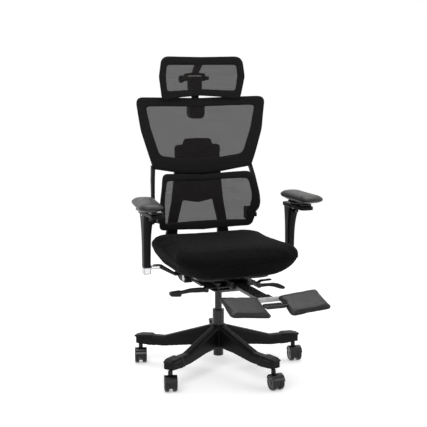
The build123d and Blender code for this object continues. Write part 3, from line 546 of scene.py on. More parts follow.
FRAME_PLASTIC = Moulded("frame_plastic", (0.0036, 0.0036, 0.0038), 0.42)
FRAME_CLOTH = Wrapped("frame_cloth", (0.0062, 0.0062, 0.0064), 0.8)
BASE_PLASTIC = Moulded("base_plastic", (0.0036, 0.0036, 0.0038), 0.44, grain=900.0)
LEVER_PLASTIC = Moulded("lever_plastic", (0.009, 0.009, 0.0095), 0.36, shine=0.2)
HOUSING_PAINT = Powder("housing_paint", (0.028, 0.028, 0.029), 0.4)
GLOSSY_TRIM = Glossy("glossy_trim", (0.004, 0.004, 0.0045), 0.16)
CASTOR_PLASTIC = Glossy("castor_plastic", (0.004, 0.004, 0.0045), 0.22)
BLACK_STEEL = Powder("black_steel", (0.006, 0.006, 0.0065), 0.26, shine=0.32)
GREY_TUBE = Powder("grey_tube", (0.24, 0.24, 0.245), 0.36)
# Chrome's rim paints a dark reflection onto its edges.
CHROME = Metal("chrome", (0.66, 0.66, 0.68), 0.1, depth=0.00001, rim=0.95)
BRIGHT_STEEL = Metal("bright_steel", (0.5, 0.5, 0.51), 0.3, brushing=9.0)
SEAT_FABRIC = Woven("seat_fabric", (0.0018, 0.0018, 0.002), 0.9, light=(0.0075, 0.0075, 0.008))
PAD_SKIN = Hide("soft_pad", (0.017, 0.0164, 0.0156), 0.42)
FOOT_HIDE = Hide("foot_leather", (0.0068, 0.0068, 0.007), 0.38, pebble=620.0, depth=0.0005, shine=0.2)
MESH_NET = Net("mesh", (0.0086, 0.0078, 0.0076), 0.8, light=(0.0142, 0.0127, 0.0123))
SEAM_HIDE = Hide("seam_leather", (0.006, 0.006, 0.006), 0.42, depth=0.0002)
WELT = Woven("welt", (0.0015, 0.0015, 0.0016), 0.85, light=(0.006, 0.006, 0.0065), pitch=0.0009)

FINISH_OF_SLOT = {
    "base_plastic": BASE_PLASTIC,
    "frame_plastic": FRAME_PLASTIC,
    "lever_plastic": LEVER_PLASTIC,
    "mesh": MESH_NET,
    "seat_fabric": SEAT_FABRIC,
    "soft_pad": PAD_SKIN,
    "foot_leather": FOOT_HIDE,
    "chrome": CHROME,
    "black_steel": BLACK_STEEL,
    "bright_steel": BRIGHT_STEEL,
    "grey_tube": GREY_TUBE,
    "castor_plastic": CASTOR_PLASTIC,
}


# ------------------------------------------------------------------ shared making
class Shading(Enum):
    """How a new mesh's faces meet in the light."""

    SMOOTH = "smooth"
    CREASED = "creased"


CREASE = math.radians(38)


def as_mesh(name: str, shape: Shape) -> bpy.types.Mesh:
    """Turn a bmesh into a mesh.

    Args:
        name: the mesh's name.
        shape: the bmesh, which is freed here.

    Returns:
        The mesh.
    """
    mesh = bpy.data.meshes.new(name)
    shape.to_mesh(mesh)
    shape.free()
    return mesh


def stand(name: str, data: bpy.types.ID) -> Piece:
    """Stand something in the scene.

    Args:
        name: the new object's name.
        data: a mesh, curve, lamp or camera.

    Returns:
        The object.
    """
    piece = bpy.data.objects.new(name, data)
    bpy.context.scene.collection.objects.link(piece)
    return piece


def add_piece(
    name: str,
    shape: Shape,
    body: str,
    slot: str,
    finish: Finish | None = None,
    replaces: Sequence[str] = (),
    shading: Shading = Shading.SMOOTH,
) -> Piece:
    """Turn a finished bmesh into a piece that rides on a body.

    Args:
        name: the piece's name.
        shape: its mesh, which is freed here.
        body: the body it moves with.
        slot: the record's material slot it is finished from.
        finish: another finish than the slot's own.
        replaces: nodes that it stands for.
        shading: smooth all over, or creased at sharp edges.

    Returns:
        The piece.
    """
    for face in shape.faces:
        face.smooth = True
    if shading is Shading.CREASED:
        for edge in shape.edges:
            edge.smooth = len(edge.link_faces) == 2 and edge.calc_face_angle(0) < CREASE
    mesh = as_mesh(name, shape)
    mesh.materials.append((finish or FINISH_OF_SLOT[slot]).made())
    piece = stand(name, mesh)
    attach(piece, body)
    if replaces:
        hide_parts(*replaces)
    log.info("%s: %d faces on %s", name, len(mesh.polygons), body)
    return piece


def outward(shape: Shape, gap: float = 1e-5) -> Shape:
    """Merge doubles and point the faces outwards.

    Args:
        shape: the bmesh, changed in place.
        gap: how close doubles lie.

    Returns:
        The same bmesh.
    """
    bmesh.ops.remove_doubles(shape, verts=shape.verts, dist=gap)
    bmesh.ops.recalc_face_normals(shape, faces=shape.faces)
    return shape


def mapped_grid(columns: int, rows: int, place: Callable[[float, float], Vector]) -> Shape:
    """Grid whose points are moved to place(u, v), with u and v from 0 to 1.

    Args:
        columns: faces along u.
        rows: faces along v.
        place: where a point goes.

    Returns:
        The new bmesh.
    """
    shape = bmesh.new()
    bmesh.ops.create_grid(shape, x_segments=columns, y_segments=rows, size=0.5)
    for vert in shape.verts:
        vert.co = place(vert.co.x + 0.5, vert.co.y + 0.5)
    return shape


def spun(profile: Sequence[tuple[float, float]], steps: int, place: Matrix) -> Shape:
    """Solid of revolution about its own Z.

    Args:
        profile: radius and height of each point, open or closed on the axis.
        steps: faces round the axis.
        place: where it goes.

    Returns:
        The new bmesh.
    """
    shape = bmesh.new()
    verts = [shape.verts.new((r, 0.0, z)) for r, z in profile]
    edges = [shape.edges.new(pair) for pair in zip(verts, verts[1:])]
    bmesh.ops.spin(
        shape, geom=verts + edges, cent=(0, 0, 0), axis=(0, 0, 1), angle=math.tau, steps=steps, use_merge=True
    )
    bmesh.ops.transform(shape, matrix=place, verts=shape.verts)
    return outward(shape, 1e-6)


def merged_copy(node: str) -> Shape:
    """Copy a node's mesh with its loose triangles joined at their corners.

    Args:
        node: the node.

    Returns:
        The copy.
    """
    shape = bmesh.new()
    shape.from_mesh(frame["nodes"][node].data)
    bmesh.ops.remove_doubles(shape, verts=shape.verts, dist=1e-5)
    return shape


def settle(piece: Piece) -> None:
    """Apply all of a piece's modifiers to its mesh.

    Args:
        piece: the piece.
    """
    bpy.context.view_layer.update()
    graph = bpy.context.evaluated_depsgraph_get()
    old = piece.data
    material = old.materials[0]
    mesh = bpy.data.meshes.new_from_object(piece.evaluated_get(graph), depsgraph=graph)
    piece.modifiers.clear()
    piece.data = mesh
    mesh.name = piece.name
    mesh.materials.clear()
    mesh.materials.append(material)
    bpy.data.meshes.remove(old)


def remesh(piece: Piece, voxel: float) -> None:
    """Turn a piece's loose triangles into one skin of even quads.

    Args:
        piece: the piece.
        voxel: the quads' size.
    """
    even = piece.modifiers.new("even", "REMESH")
    even.mode = "VOXEL"
    even.voxel_size = voxel
    even.use_smooth_shade = True
    settle(piece)


def smooth(piece: Piece, rounds: int) -> None:
    """Move each point towards its neighbours, which rounds the edges.

    Args:
        piece: the piece.
        rounds: how often they move.
    """
    shape = bmesh.new()
    shape.from_mesh(piece.data)
    for _ in range(rounds):
        bmesh.ops.smooth_vert(
            shape, verts=shape.verts, factor=0.5, use_axis_x=True, use_axis_y=True, use_axis_z=True
        )
    for face in shape.faces:
        face.smooth = True
    shape.to_mesh(piece.data)
    shape.free()


NODE_SLOT = {part["node"]: part["material_slot"] for part in frame["record"]["subparts"]}
NODE_BODY = {node: body for body, nodes in frame["record"]["behaviour"]["bodies"].items() for node in nodes}
JOINTS = {joint["name"]: joint for joint in frame["joints"]}


@dataclass
class Moulding:
    """A rigid node with its edges rounded as a mould rounds them.

    Attributes:
        node: the node that it stands for.
        voxel: size of the remesh, which also sets how round the edges are.
        rounds: how often its surface is smoothed.
        finish: another finish than the slot's own.
    """

    node: str
    voxel: float = 0.0016
    rounds: int = 2
    finish: Finish | None = None

    def made(self) -> Piece:
        """Build the rounded piece in the node's place.

        Returns:
            The piece.
        """
        piece = add_piece(
            f"{self.node}_moulded",
            merged_copy(self.node),
            NODE_BODY[self.node],
            NODE_SLOT[self.node],
            self.finish,
            [self.node],
        )
        remesh(piece, self.voxel)
        smooth(piece, self.rounds)
        return piece


def rounded_block(low: Sequence[float], high: Sequence[float], radius: float) -> Shape:
    """Block with rounded edges.

    Args:
        low: its lowest corner.
        high: its highest corner.
        radius: radius at its edges.

    Returns:
        The new bmesh.
    """
    shape = bmesh.new()
    bmesh.ops.create_cube(shape, size=1.0)
    bmesh.ops.scale(shape, vec=Vector(high) - Vector(low), verts=shape.verts)
    bmesh.ops.translate(shape, vec=(Vector(low) + Vector(high)) / 2, verts=shape.verts)
    bmesh.ops.bevel(
        shape,
        geom=shape.edges[:],
        offset=radius,
        offset_type="OFFSET",
        affect="EDGES",
        segments=3,
        profile=0.5,
        material=-1,
    )
    return outward(shape, 1e-6)


def facing(spot: Sequence[float], direction: Sequence[float]) -> Matrix:
    """Place and turn so that a piece's own Z points in a direction."""
    turn = Vector(direction).to_track_quat("Z", "Y").to_matrix().to_4x4()
    return Matrix.Translation(Vector(spot)) @ turn


def dome(radius: float, height: float, spot: Sequence[float], direction: Sequence[float]) -> Shape:
    """Small round head of a rivet, with a dished middle.

    Args:
        radius: the head's radius.
        height: how far it stands out, and how deep it is sunk.
        spot: where it sits.
        direction: where it faces.

    Returns:
        The new bmesh.
    """
    profile = [
        (0.0, -height),
        (radius, -height),
        (radius, height * 0.3),
        (radius * 0.86, height * 0.75),
        (radius * 0.55, height),
        (radius * 0.42, height),
        (radius * 0.36, height * 0.35),
        (0.0, height * 0.35),
    ]
    return spun(profile, 20, facing(spot, direction))


def piped(name: str, path: Sequence[Vector], radius: float, closed: bool) -> Shape:
    """Round bead along a path, made from a bevelled curve.

    Args:
        name: name of the passing curve.
        path: points that the bead follows.
        radius: the bead's radius.
        closed: whether the path returns to its start.

    Returns:
        The bead as a bmesh.
    """
    curve = bpy.data.curves.new(name, "CURVE")
    curve.dimensions = "3D"
    curve.bevel_depth = radius
    curve.bevel_resolution = 3
    curve.use_fill_caps = True
    spline = curve.splines.new("POLY")
    spline.points.add(len(path) - 1)
    for point, co in zip(spline.points, path):
        point.co = (*co, 1.0)
    spline.use_cyclic_u = closed
    passing = stand(name, curve)
    bpy.context.view_layer.update()
    mesh = bpy.data.meshes.new_from_object(passing.evaluated_get(bpy.context.evaluated_depsgraph_get()))
    bpy.data.objects.remove(passing)
    shape = bmesh.new()
    shape.from_mesh(mesh)
    return outward(shape, 1e-6)


# ------------------------------------------------------------------ soft pieces
@dataclass
class Padding:
    """Foam under a cover: a node's shape, remeshed, blown up a little and capped.

    Attributes:
        node: the soft solid that it stands for.
        voxel: size of the remesh.
        swell: pressure inside while it is simulated.
        cap: the furthest that a point may move.
        shrink: how much smaller it starts, on every side.
        fill: how full it is, from 0 to 1; not used.
        frames: how long it is simulated.
    """

    node: str
    voxel: float
    swell: float
    cap: float
    shrink: float
    fill: float = 0.7
    frames: int = 20

    def made(self) -> Piece:
        """Build, blow up and finish the pad.

        Returns:
            The pad.
        """
        shape = merged_copy(self.node)
        pad = add_piece(f"{self.node}_soft", shape, NODE_BODY[self.node], NODE_SLOT[self.node])
        remesh(pad, self.voxel)
        for vert in pad.data.vertices:
            vert.co -= vert.normal * self.shrink
        self.blow_up(pad)
        smooth(pad, 4)
        finer = pad.modifiers.new("finer", "SUBSURF")
        finer.levels = 1
        finer.render_levels = 1
        settle(pad)
        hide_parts(self.node)
        return pad

    def blow_up(self, pad: Piece) -> None:
        """Simulate the cover over its foam and cap how far it moved.

        Args:
            pad: the pad.
        """
        start = [vert.co.copy() for vert in pad.data.vertices]
        lowest = min(co.z for co in start)
        held = pad.vertex_groups.new(name="held")
        held.add([v.index for v in pad.data.vertices if v.co.z < lowest + self.voxel], 1.0, "REPLACE")
        cloth = pad.modifiers.new("air", "CLOTH")
        cloth.settings.use_pressure = True
        cloth.settings.uniform_pressure_force = self.swell
        cloth.settings.effector_weights.gravity = 0
        cloth.settings.vertex_group_mass = "held"
        cloth.settings.quality = 5
        cloth.point_cache.frame_start = 1
        cloth.point_cache.frame_end = self.frames
        for step in range(1, self.frames + 1):
            bpy.context.scene.frame_set(step)
        settle(pad)
        bpy.context.scene.frame_set(1)
        for vert, co in zip(pad.data.vertices, start):
            moved = vert.co - co
            if moved.length > self.cap:
                vert.co = co + moved.normalized() * self.cap


def mark_rim(piece: Piece, point: Vector, normal: Vector, fade: float = 0.003) -> None:
    """Mark the cover below a seam, which its finish darkens, partly as painted shade on the sides.

    Args:
        piece: the pad.
        point: a point on the seam.
        normal: the way up from the seam.
        fade: how far below the seam the mark is full.
    """
    marks = piece.data.attributes.new(RIM, "FLOAT", "POINT")
    for vert, mark in zip(piece.data.vertices, marks.data):
        mark.value = min(max((point - vert.co).dot(normal) / fade, 0.0), 1.0)


def loop_at(piece: Piece, point: Vector, normal: Vector, push: float) -> list[Vector]:
    """Points where a plane cuts a closed piece, in order round it.

    Args:
        piece: a closed mesh.
        point: a point of the plane.
        normal: the plane's normal.
        push: how far the points move out along the surface's normal.

    Returns:
        The longest loop's points.
    """
    shape = bmesh.new()
    shape.from_mesh(piece.data)
    whole = [*shape.verts, *shape.edges, *shape.faces]
    cut = bmesh.ops.bisect_plane(shape, geom=whole, plane_co=point, plane_no=normal)
    shape.normal_update()
    left = {g for g in cut["geom_cut"] if isinstance(g, bmesh.types.BMEdge)}
    loops: list[list[Vector]] = []
    while left:
        edge = left.pop()
        chain = [edge.verts[0], edge.verts[1]]
        while True:
            following = [e for e in chain[-1].link_edges if e in left]
            if not following:
                break
            left.discard(following[0])
            chain.append(following[0].other_vert(chain[-1]))
        loops.append([v.co + v.normal * push for v in chain])
    shape.free()
    longest = max(loops, key=len)
    if (longest[0] - longest[-1]).length < 1e-6:
        longest.pop()
    return longest


def evened(path: list[Vector], step: float, rounds: int = 2) -> list[Vector]:
    """Closed path with evenly spaced points, smoothed a few times.

    Args:
        path: points of a closed loop.
        step: distance between the new points.
        rounds: how often each point moves towards its neighbours.

    Returns:
        The new points.
    """
    lengths = [(b - a).length for a, b in zip(path, path[1:] + path[:1])]
    total = sum(lengths)
    count = max(12, int(total / step))
    even: list[Vector] = []
    index, walked = 0, 0.0
    for k in range(count):
        target = total * k / count
        while walked + lengths[index] < target:
            walked += lengths[index]
            index += 1
        share = (target - walked) / lengths[index]
        even.append(path[index].lerp(path[(index + 1) % len(path)], share))
    for _ in range(rounds):
        even = [(even[i - 1] + even[i] * 2 + even[(i + 1) % count]) / 4 for i in range(count)]
    return even


def sew_seam(pad: Piece, node: str, point: Vector, normal: Vector, radius: float, rounds: int) -> None:
    """Run a seam round a pad and mark the cover below it, which its finish darkens, partly as painted shade.

    Args:
        pad: the pad.
        node: the node that it stands for.
        point: a point of the seam's plane.
        normal: the way up from it.
        radius: how thick the seam is.
        rounds: how often its path is smoothed.
    """
    mark_rim(pad, point, normal)
    path = evened(loop_at(pad, point, normal, 0.0001), 0.005, rounds)
    seam = piped("seam_path", path, radius, True)
    add_piece(f"{node}_seam", seam, NODE_BODY[node], NODE_SLOT[node], SEAM_HIDE)


@dataclass
class Seat:
    """Seat cushion with the welt round its top panel.

    Attributes:
        welt_radius: how thick the welt is.
        welt_height: its height at the cushion's front.
        welt_slope: how far it rises towards the back, as a share.
    """

    welt_radius: float = 0.0022
    welt_height: float = 0.478
    welt_slope: float = 0.10

    def build(self) -> None:
        """Build the cushion and its welt."""
        cushion = Padding("seat_cushion", voxel=0.0065, swell=4.0, cap=0.010, shrink=0.006).made()
        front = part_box("seat_cushion")[0].y
        plane = Vector((0, front, self.welt_height))
        normal = Vector((0, -self.welt_slope, 1)).normalized()
        path = evened(loop_at(cushion, plane, normal, 0.0002), 0.006, 3)
        welt = piped("welt_path", path, self.welt_radius, True)
        add_piece("seat_welt", welt, "seat", "seat_fabric", WELT)


# ------------------------------------------------------------------ back panels
@dataclass
class Outline:
    """Closed outline, symmetric about x = 0, with rounded corners.

    Attributes:
        corners: x and z of the corners of its right-hand half, from the top middle to the bottom middle.
        radii: radius at each corner.
    """

    corners: Sequence[tuple[float, float]]
    radii: Sequence[float]

    def __post_init__(self) -> None:
        """Work out the middle and the rounded path."""
        half = [Vector(c) for c in self.corners]
        full = half + [Vector((-c.x, c.y)) for c in reversed(half) if c.x > 0]
        radii = list(self.radii) + [r for c, r in zip(reversed(half), reversed(self.radii)) if c.x > 0]
        self.middle = Vector((0.0, (half[0].y + half[-1].y) / 2))
        self.path: list[Vector] = []
        for i, (corner, radius) in enumerate(zip(full, radii)):
            self.path += self.turned(full[i - 1], corner, full[(i + 1) % len(full)], radius)

    @staticmethod
    def turned(before: Vector, corner: Vector, after: Vector, radius: float) -> list[Vector]:
        """Arc that rounds one corner, as points.

        Args:
            before: the corner before.
            corner: the corner itself.
            after: the corner after.
            radius: radius of the arc.

        Returns:
            The arc's points, or the corner where it has no radius.
        """
        to_before = (before - corner).normalized()
        to_after = (after - corner).normalized()
        half_angle = math.acos(max(-1.0, min(1.0, to_before.dot(to_after)))) / 2
        if radius <= 0 or half_angle > 1.565:
            return [corner]
        room = min((before - corner).length, (after - corner).length) * 0.49
        back = min(radius / math.tan(half_angle), room)
        start = corner + to_before * back
        end = corner + to_after * back
        arc: list[Vector] = []
        for k in range(9):
            share = k / 8
            bow = start.lerp(corner, share).lerp(corner.lerp(end, share), share)
            chord = start.lerp(end, share)
            arc.append(bow * 0.94 + chord * 0.06)
        return arc

    def at(self, turn: float) -> Vector:
        """Point of the outline in a direction from its middle.

        Args:
            turn: share of a full turn, from straight up.

        Returns:
            The point.
        """
        angle = turn * math.tau
        ray = Vector((math.sin(angle), math.cos(angle)))
        best = 0.0
        for a, b in zip(self.path, self.path[1:] + self.path[:1]):
            side = b - a
            across = ray.x * side.y - ray.y * side.x
            if abs(across) < 1e-12:
                continue
            start = a - self.middle
            reach = (start.x * side.y - start.y * side.x) / across
            share = (start.x * ray.y - start.y * ray.x) / across
            if reach > 0 and -1e-6 <= share <= 1 + 1e-6:
                best = max(best, reach)
        return self.middle + ray * best


@dataclass
class Panel:
    """Curved mesh panel: a moulded frame, a bead at its inner edge and the net.

    Attributes:
        name: what its pieces are called.
        body: the body it moves with.
        levels: height and depth of the front face at the sides and in the middle.
        half_width: where the sides' depth is measured.
        thickness: the frame's thickness.
        outer: the frame's outline.
        window: the net's outline.
        crown: how round the frame's section is; 2 is an ellipse, higher is squarer.
        net_inset: how far the net lies behind the frame's front.
        net_tuck: how far the net runs under the frame.
        net_faces: its faces across and up.
        slack: its flat size over its size in front view, across and up.
        bead: radius of the bead at the frame's inner edge.
        around: the frame's faces round its opening.
        across: its faces round its section.
    """

    name: str
    body: str
    levels: Sequence[tuple[float, float, float]]
    half_width: float
    thickness: float
    outer: Outline
    window: Outline
    crown: float = 4.0
    net_inset: float = 0.006
    net_tuck: float = 0.004
    net_faces: tuple[int, int] = (56, 40)
    slack: tuple[float, float] = (1.03, 1.02)
    bead: float = 0.0026
    around: int = 288
    across: int = 28

    def depth(self, x: float, z: float) -> float:
        """Depth of the panel's front face at a point of its front view.

        Args:
            x: across.
            z: up.

        Returns:
            Its y.
        """
        side = self.between_levels(z, 1)
        middle = self.between_levels(z, 2)
        sagitta = middle - side
        radius = (self.half_width**2 + sagitta**2) / (2 * sagitta)
        return middle - (radius - math.sqrt(max(radius**2 - x * x, 0.0)))

    def between_levels(self, z: float, column: int) -> float:
        """Smooth value between the levels: the polynomial through them all.

        Args:
            z: the height.
            column: 1 for the sides and 2 for the middle.

        Returns:
            The depth there.
        """
        total = 0.0
        for i, level in enumerate(self.levels):
            share = 1.0
            for j, other in enumerate(self.levels):
                if i != j:
                    share *= (z - other[0]) / (level[0] - other[0])
            total += level[column] * share
        return total

    def build(self, frame_node: str, net_node: str) -> None:
        """Build the three pieces.

        Args:
            frame_node: the node that the frame stands for.
            net_node: the node that the net stands for.
        """
        outer = [self.outer.at(k / self.around) for k in range(self.around)]
        inner = [self.window.at(k / self.around) for k in range(self.around)]
        power = 2 / self.crown

        def on_ring(u: float, v: float) -> Vector:
            """Place a point of the frame's skin.

            Args:
                u: share of a turn round the opening.
                v: share of a turn round the section.

            Returns:
                The point.
            """
            k = round(u * self.around) % self.around
            angle = v * math.tau
            across = 0.5 + 0.5 * math.copysign(abs(math.cos(angle)) ** power, math.cos(angle))
            behind = 0.5 + 0.5 * math.copysign(abs(math.sin(angle)) ** power, math.sin(angle))
            spot = inner[k].lerp(outer[k], across)
            return Vector((spot.x, self.depth(spot.x, spot.y) + behind * self.thickness, spot.y))

        ring = outward(mapped_grid(self.around, self.across, on_ring))
        name = f"{self.name}_frame_wrapped"
        add_piece(name, ring, self.body, "frame_plastic", FRAME_CLOTH, [frame_node])
        bead_path = [
            Vector((p.x, self.depth(p.x, p.y) + self.net_inset - self.bead * 0.3, p.y))
            for p in (i.lerp(o, 0.02) for i, o in zip(inner, outer))
        ]
        bead = piped("bead_path", evened(bead_path, 0.005, 1), self.bead, True)
        add_piece(f"{self.name}_bead", bead, self.body, "frame_plastic")
        self.build_net(net_node)

    def build_net(self, node: str) -> None:
        """Args:
            node: the node that it stands for.
        """

        def on_net(u: float, v: float) -> Vector:
            """Place a point of the net.

            Args:
                u: share of its width.
                v: share of its height.

            Returns:
                The point.
            """
            a, b = 2 * u - 1, 2 * v - 1
            reach = max(abs(a), abs(b))
            if reach < 1e-9:
                spot = self.window.middle
            else:
                edge = self.window.at((math.atan2(a, b) / math.tau) % 1.0)
                away = edge - self.window.middle
                spot = self.window.middle + away * (1 + self.net_tuck / away.length) * reach
            return Vector((spot.x, self.depth(spot.x, spot.y) + self.net_inset, spot.y))

        shape = mapped_grid(*self.net_faces, on_net)
        area = sum(face.calc_area() for face in shape.faces)
        xs = [vert.co.x for vert in shape.verts]
        zs = [vert.co.z for vert in shape.verts]
        flat = (self.slack[0] * (max(xs) - min(xs)), self.slack[1] * (max(zs) - min(zs)))
        area = min(area, flat[0] * flat[1])
        net = add_piece(f"{self.name}_net", shape, self.body, "mesh", replaces=[node])


MM = 0.001


def mm(values: Sequence[Sequence[float]]) -> list[tuple[float, ...]]:
    """Rows of millimetres as metres."""
    return [tuple(v * MM for v in row) for row in values]


@dataclass
class Back:
    """Yoke, upper and lower mesh panels, their side arms and fastenings.

    Attributes:
        boss: corners of the block between the yoke and the upper frame.
        top_boss: the same between the headrest's bracket and that frame.
        ear: corners of the left ear that joins the lower frame to its side arm.
        edge: radius at their edges.
    """

    boss: Sequence[Sequence[float]] = ((-0.062, 0.222, 0.776), (0.062, 0.236, 0.822))
    top_boss: Sequence[Sequence[float]] = ((-0.030, 0.228, 1.044), (0.030, 0.242, 1.066))
    ear: Sequence[Sequence[float]] = ((0.1953, 0.112, 0.587), (0.2137, 0.185, 0.605))
    edge: float = 0.003

    def build(self) -> None:
        """Build the carriers, both panels and what joins them."""
        Moulding("back_yoke", voxel=0.0022, rounds=3).made()
        Moulding("side_arms", voxel=0.0017, rounds=3).made()
        Moulding("headrest_bracket", voxel=0.0016).made()
        self.upper_panel().build("upper_frame", "upper_mesh")
        self.lower_panel().build("lower_frame", "lower_mesh")
        self.add_block("yoke_boss", "back", *self.boss)
        self.add_block("bracket_boss", "back", *self.top_boss)
        low, high = self.ear
        for hand, side in HANDS.items():
            near, far = sorted((side * low[0], side * high[0]))
            self.add_block(f"lumbar_ear_{hand}", "lumbar", (near, *low[1:]), (far, *high[1:]))

    def add_block(self, name: str, body: str, low: Sequence[float], high: Sequence[float]) -> None:
        """Add one fastening block.

        Args:
            name: the piece's name.
            body: the body it moves with.
            low: its lowest corner.
            high: its highest corner.
        """
        block = rounded_block(low, high, self.edge)
        add_piece(name, block, body, "frame_plastic", shading=Shading.CREASED)

    def upper_panel(self) -> Panel:
        """Panel behind the shoulders.

        Returns:
            The panel.
        """
        return Panel(
            "upper",
            "back",
            mm([(740, 110, 214), (830, 131, 212), (950, 161, 213), (1095, 176, 222)]),
            0.290,
            0.018,
            Outline(
                mm([(0, 1071), (278, 1079), (260, 945), (229, 845), (211, 792), (90, 768), (0, 762)]),
                [0, 0.026, 0.2, 0.2, 0.02, 0.3, 0],
            ),
            Outline(
                mm([(0, 1038), (237, 1044), (217, 950), (181, 843), (90, 828), (0, 827)]),
                [0, 0.014, 0.2, 0.034, 0.2, 0],
            ),
        )

    def lower_panel(self) -> Panel:
        """Panel behind the loins, which rocks on the side arms.

        Returns:
            The panel.
        """
        return Panel(
            "lower",
            "lumbar",
            mm([(520, 132, 168), (600, 96, 166), (685, 68, 166), (790, 94, 172)]),
            0.222,
            0.016,
            Outline(mm([(0, 762), (192, 778), (212, 670), (200, 548), (0, 536)]), [0, 0.026, 0.2, 0.024, 0]),
            Outline(mm([(0, 741), (176, 750), (191, 675), (177, 572), (0, 572)]), [0, 0.016, 0.15, 0.010, 0]),
        )


@dataclass
class Headrest:
    """Small mesh panel on its tilting carrier.

    Attributes:
        ridges: ridges round the tilt knob.
        knob_radius: how far they stand from its axis.
        knob_middle: how far their middle lies from the stem's end.
        knob_drop: how far the knob's axis lies below the joint's.
        ridge: radius and half length of one.
    """

    ridges: int = 18
    knob_radius: float = 0.0139
    knob_middle: float = 0.0085
    knob_drop: float = 0.003
    ridge: tuple[float, float] = (0.0012, 0.006)

    def build(self) -> None:
        """Build the panel, the stem with its knob and the carrier."""
        panel = Panel(
            "head",
            "headrest",
            mm([(1055, 182, 200), (1165, 171, 198), (1250, 172, 198)]),
            0.190,
            0.015,
            Outline(
                mm([(0, 1236), (171, 1239), (183, 1158), (167, 1064), (90, 1075), (0, 1081)]),
                [0, 0.034, 0.06, 0.02, 0.09, 0],
            ),
            Outline(
                mm([(0, 1206), (150, 1207), (155, 1160), (148, 1098), (0, 1106)]),
                [0, 0.014, 0.04, 0.014, 0],
            ),
        )
        panel.build("headrest_frame", "headrest_mesh")
        Moulding("headrest_stem", voxel=0.0015).made()
        Moulding("headrest_carrier", voxel=0.0015).made()
        self.ridge_knob()

    def ridge_knob(self) -> None:
        """Ridges round the tilt knob for the fingers."""
        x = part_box("headrest_stem")[0].x + self.knob_middle
        pivot = Vector(JOINTS["headrest_tilt"]["pos_m"]) - Vector((0, 0, self.knob_drop))
        radius, half = self.ridge
        profile = [(0.0, -half), (radius, 0.0005 - half), (radius, half - 0.0005), (0.0, half)]
        ridges = bmesh.new()
        for k in range(self.ridges):
            turn = math.tau * k / self.ridges
            out = Vector((0, math.cos(turn), math.sin(turn))) * self.knob_radius
            place = facing((x, pivot.y + out.y, pivot.z + out.z), (1, 0, 0))
            mesh = as_mesh("ridge", spun(profile, 8, place))
            ridges.from_mesh(mesh)
            bpy.data.meshes.remove(mesh)
        add_piece("knob_ridges", ridges, NODE_BODY["headrest_stem"], "frame_plastic")


@dataclass
class Armrest:
    """One armrest: pad with its seam, sleeve, sliding head and trims.

    Attributes:
        hand: right or left, as the sitter sees it.
        post: how far the sleeve's middle stands from the chair's middle.
        rivets: the outer rivet's distance from the sleeve's middle, its y and its z.
        front_rivets: how far the two front ones stand out from it.
        sleeve_front: y of the sleeve's front.
        seam_share: height of the pad's seam, as a share of the pad's.
        seam_radius: how thick the seam is.
        rivet_radius: half a rivet's width.
    """

    hand: str
    post: float = 0.302
    rivets: tuple[float, float, float] = (0.0225, -0.033, 0.6445)
    front_rivets: tuple[float, float] = (0.0095, -0.0125)
    sleeve_front: float = -0.0715
    seam_share: float = 0.56
    seam_radius: float = 0.0011
    rivet_radius: float = 0.0036

    def build(self) -> None:
        """Build the armrest from the sleeve up."""
        Moulding(f"arm_bracket_{self.hand}", voxel=0.0012, finish=CHROME, rounds=3).made()
        Moulding(f"arm_sleeve_{self.hand}", voxel=0.0018, rounds=3).made()
        Moulding(f"arm_trigger_{self.hand}", voxel=0.0011, finish=GLOSSY_TRIM).made()
        for trim in ("pad_slider", "pad_plate"):
            Moulding(f"{trim}_{self.hand}", voxel=0.0014, finish=GLOSSY_TRIM).made()
        self.set_rivets()
        self.sew_pad()

    def set_rivets(self) -> None:
        """Set the bright rivets round the sleeve's top."""
        side = HANDS[self.hand]
        across, y, z = self.rivets
        spots = [((side * (self.post + across), y, z), (side, 0, 0))]
        spots += [((side * (self.post + out), self.sleeve_front, z), (0, -1, 0)) for out in self.front_rivets]
        for number, (spot, direction) in enumerate(spots, 1):
            head = dome(self.rivet_radius, 0.0018, spot, direction)
            name = f"sleeve_rivet_{self.hand}_{number}"
            add_piece(name, head, f"arm_{self.hand}", "bright_steel", shading=Shading.CREASED)

    def sew_pad(self) -> None:
        """Blow up the pad and run its seam round the shoulder."""
        node = f"arm_pad_{self.hand}"
        low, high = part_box(node)
        pad = Padding(node, voxel=0.004, swell=0.6, cap=0.002, shrink=0.0015).made()
        point = Vector((0, 0, low.z + (high.z - low.z) * self.seam_share))
        sew_seam(pad, node, point, Vector((0, 0, 1)), self.seam_radius, 2)


@dataclass
class Footrest:
    """Rail, tube, carrier frame and the two leather-look pads.

    Attributes:
        pitch: how far the pads lean towards the front, in degrees.
        roll: how far each leans outwards.
        seam_depth: how far the seam lies below the pad's top.
        seam_radius: how thick it is.
    """

    pitch: float = 17.0
    roll: float = 6.0
    seam_depth: float = 0.0145
    seam_radius: float = 0.0012

    def build(self) -> None:
        """Build the metalwork and both pads."""
        Moulding("footrest_rail", voxel=0.0016).made()
        Moulding("footrest_frame", voxel=0.0016).made()
        for hand, side in HANDS.items():
            self.sew_pad(hand, side)

    def sew_pad(self, hand: str, side: int) -> None:
        """Blow up one pad and run its seam round the edge.

        Args:
            hand: right or left.
            side: -1 for the right pad and 1 for the left.
        """
        node = f"footrest_pad_{hand}"
        pad = Padding(node, voxel=0.0035, swell=3.0, cap=0.004, shrink=0.002).made()
        pitched = Matrix.Rotation(math.radians(self.pitch), 3, "X")
        rolled = Matrix.Rotation(math.radians(-side * self.roll), 3, "Y")
        normal = pitched @ rolled @ Vector((0, 0, 1))
        top = max(vert.co.dot(normal) for vert in pad.data.vertices)
        sew_seam(pad, node, normal * (top - self.seam_depth), normal, self.seam_radius, 1)


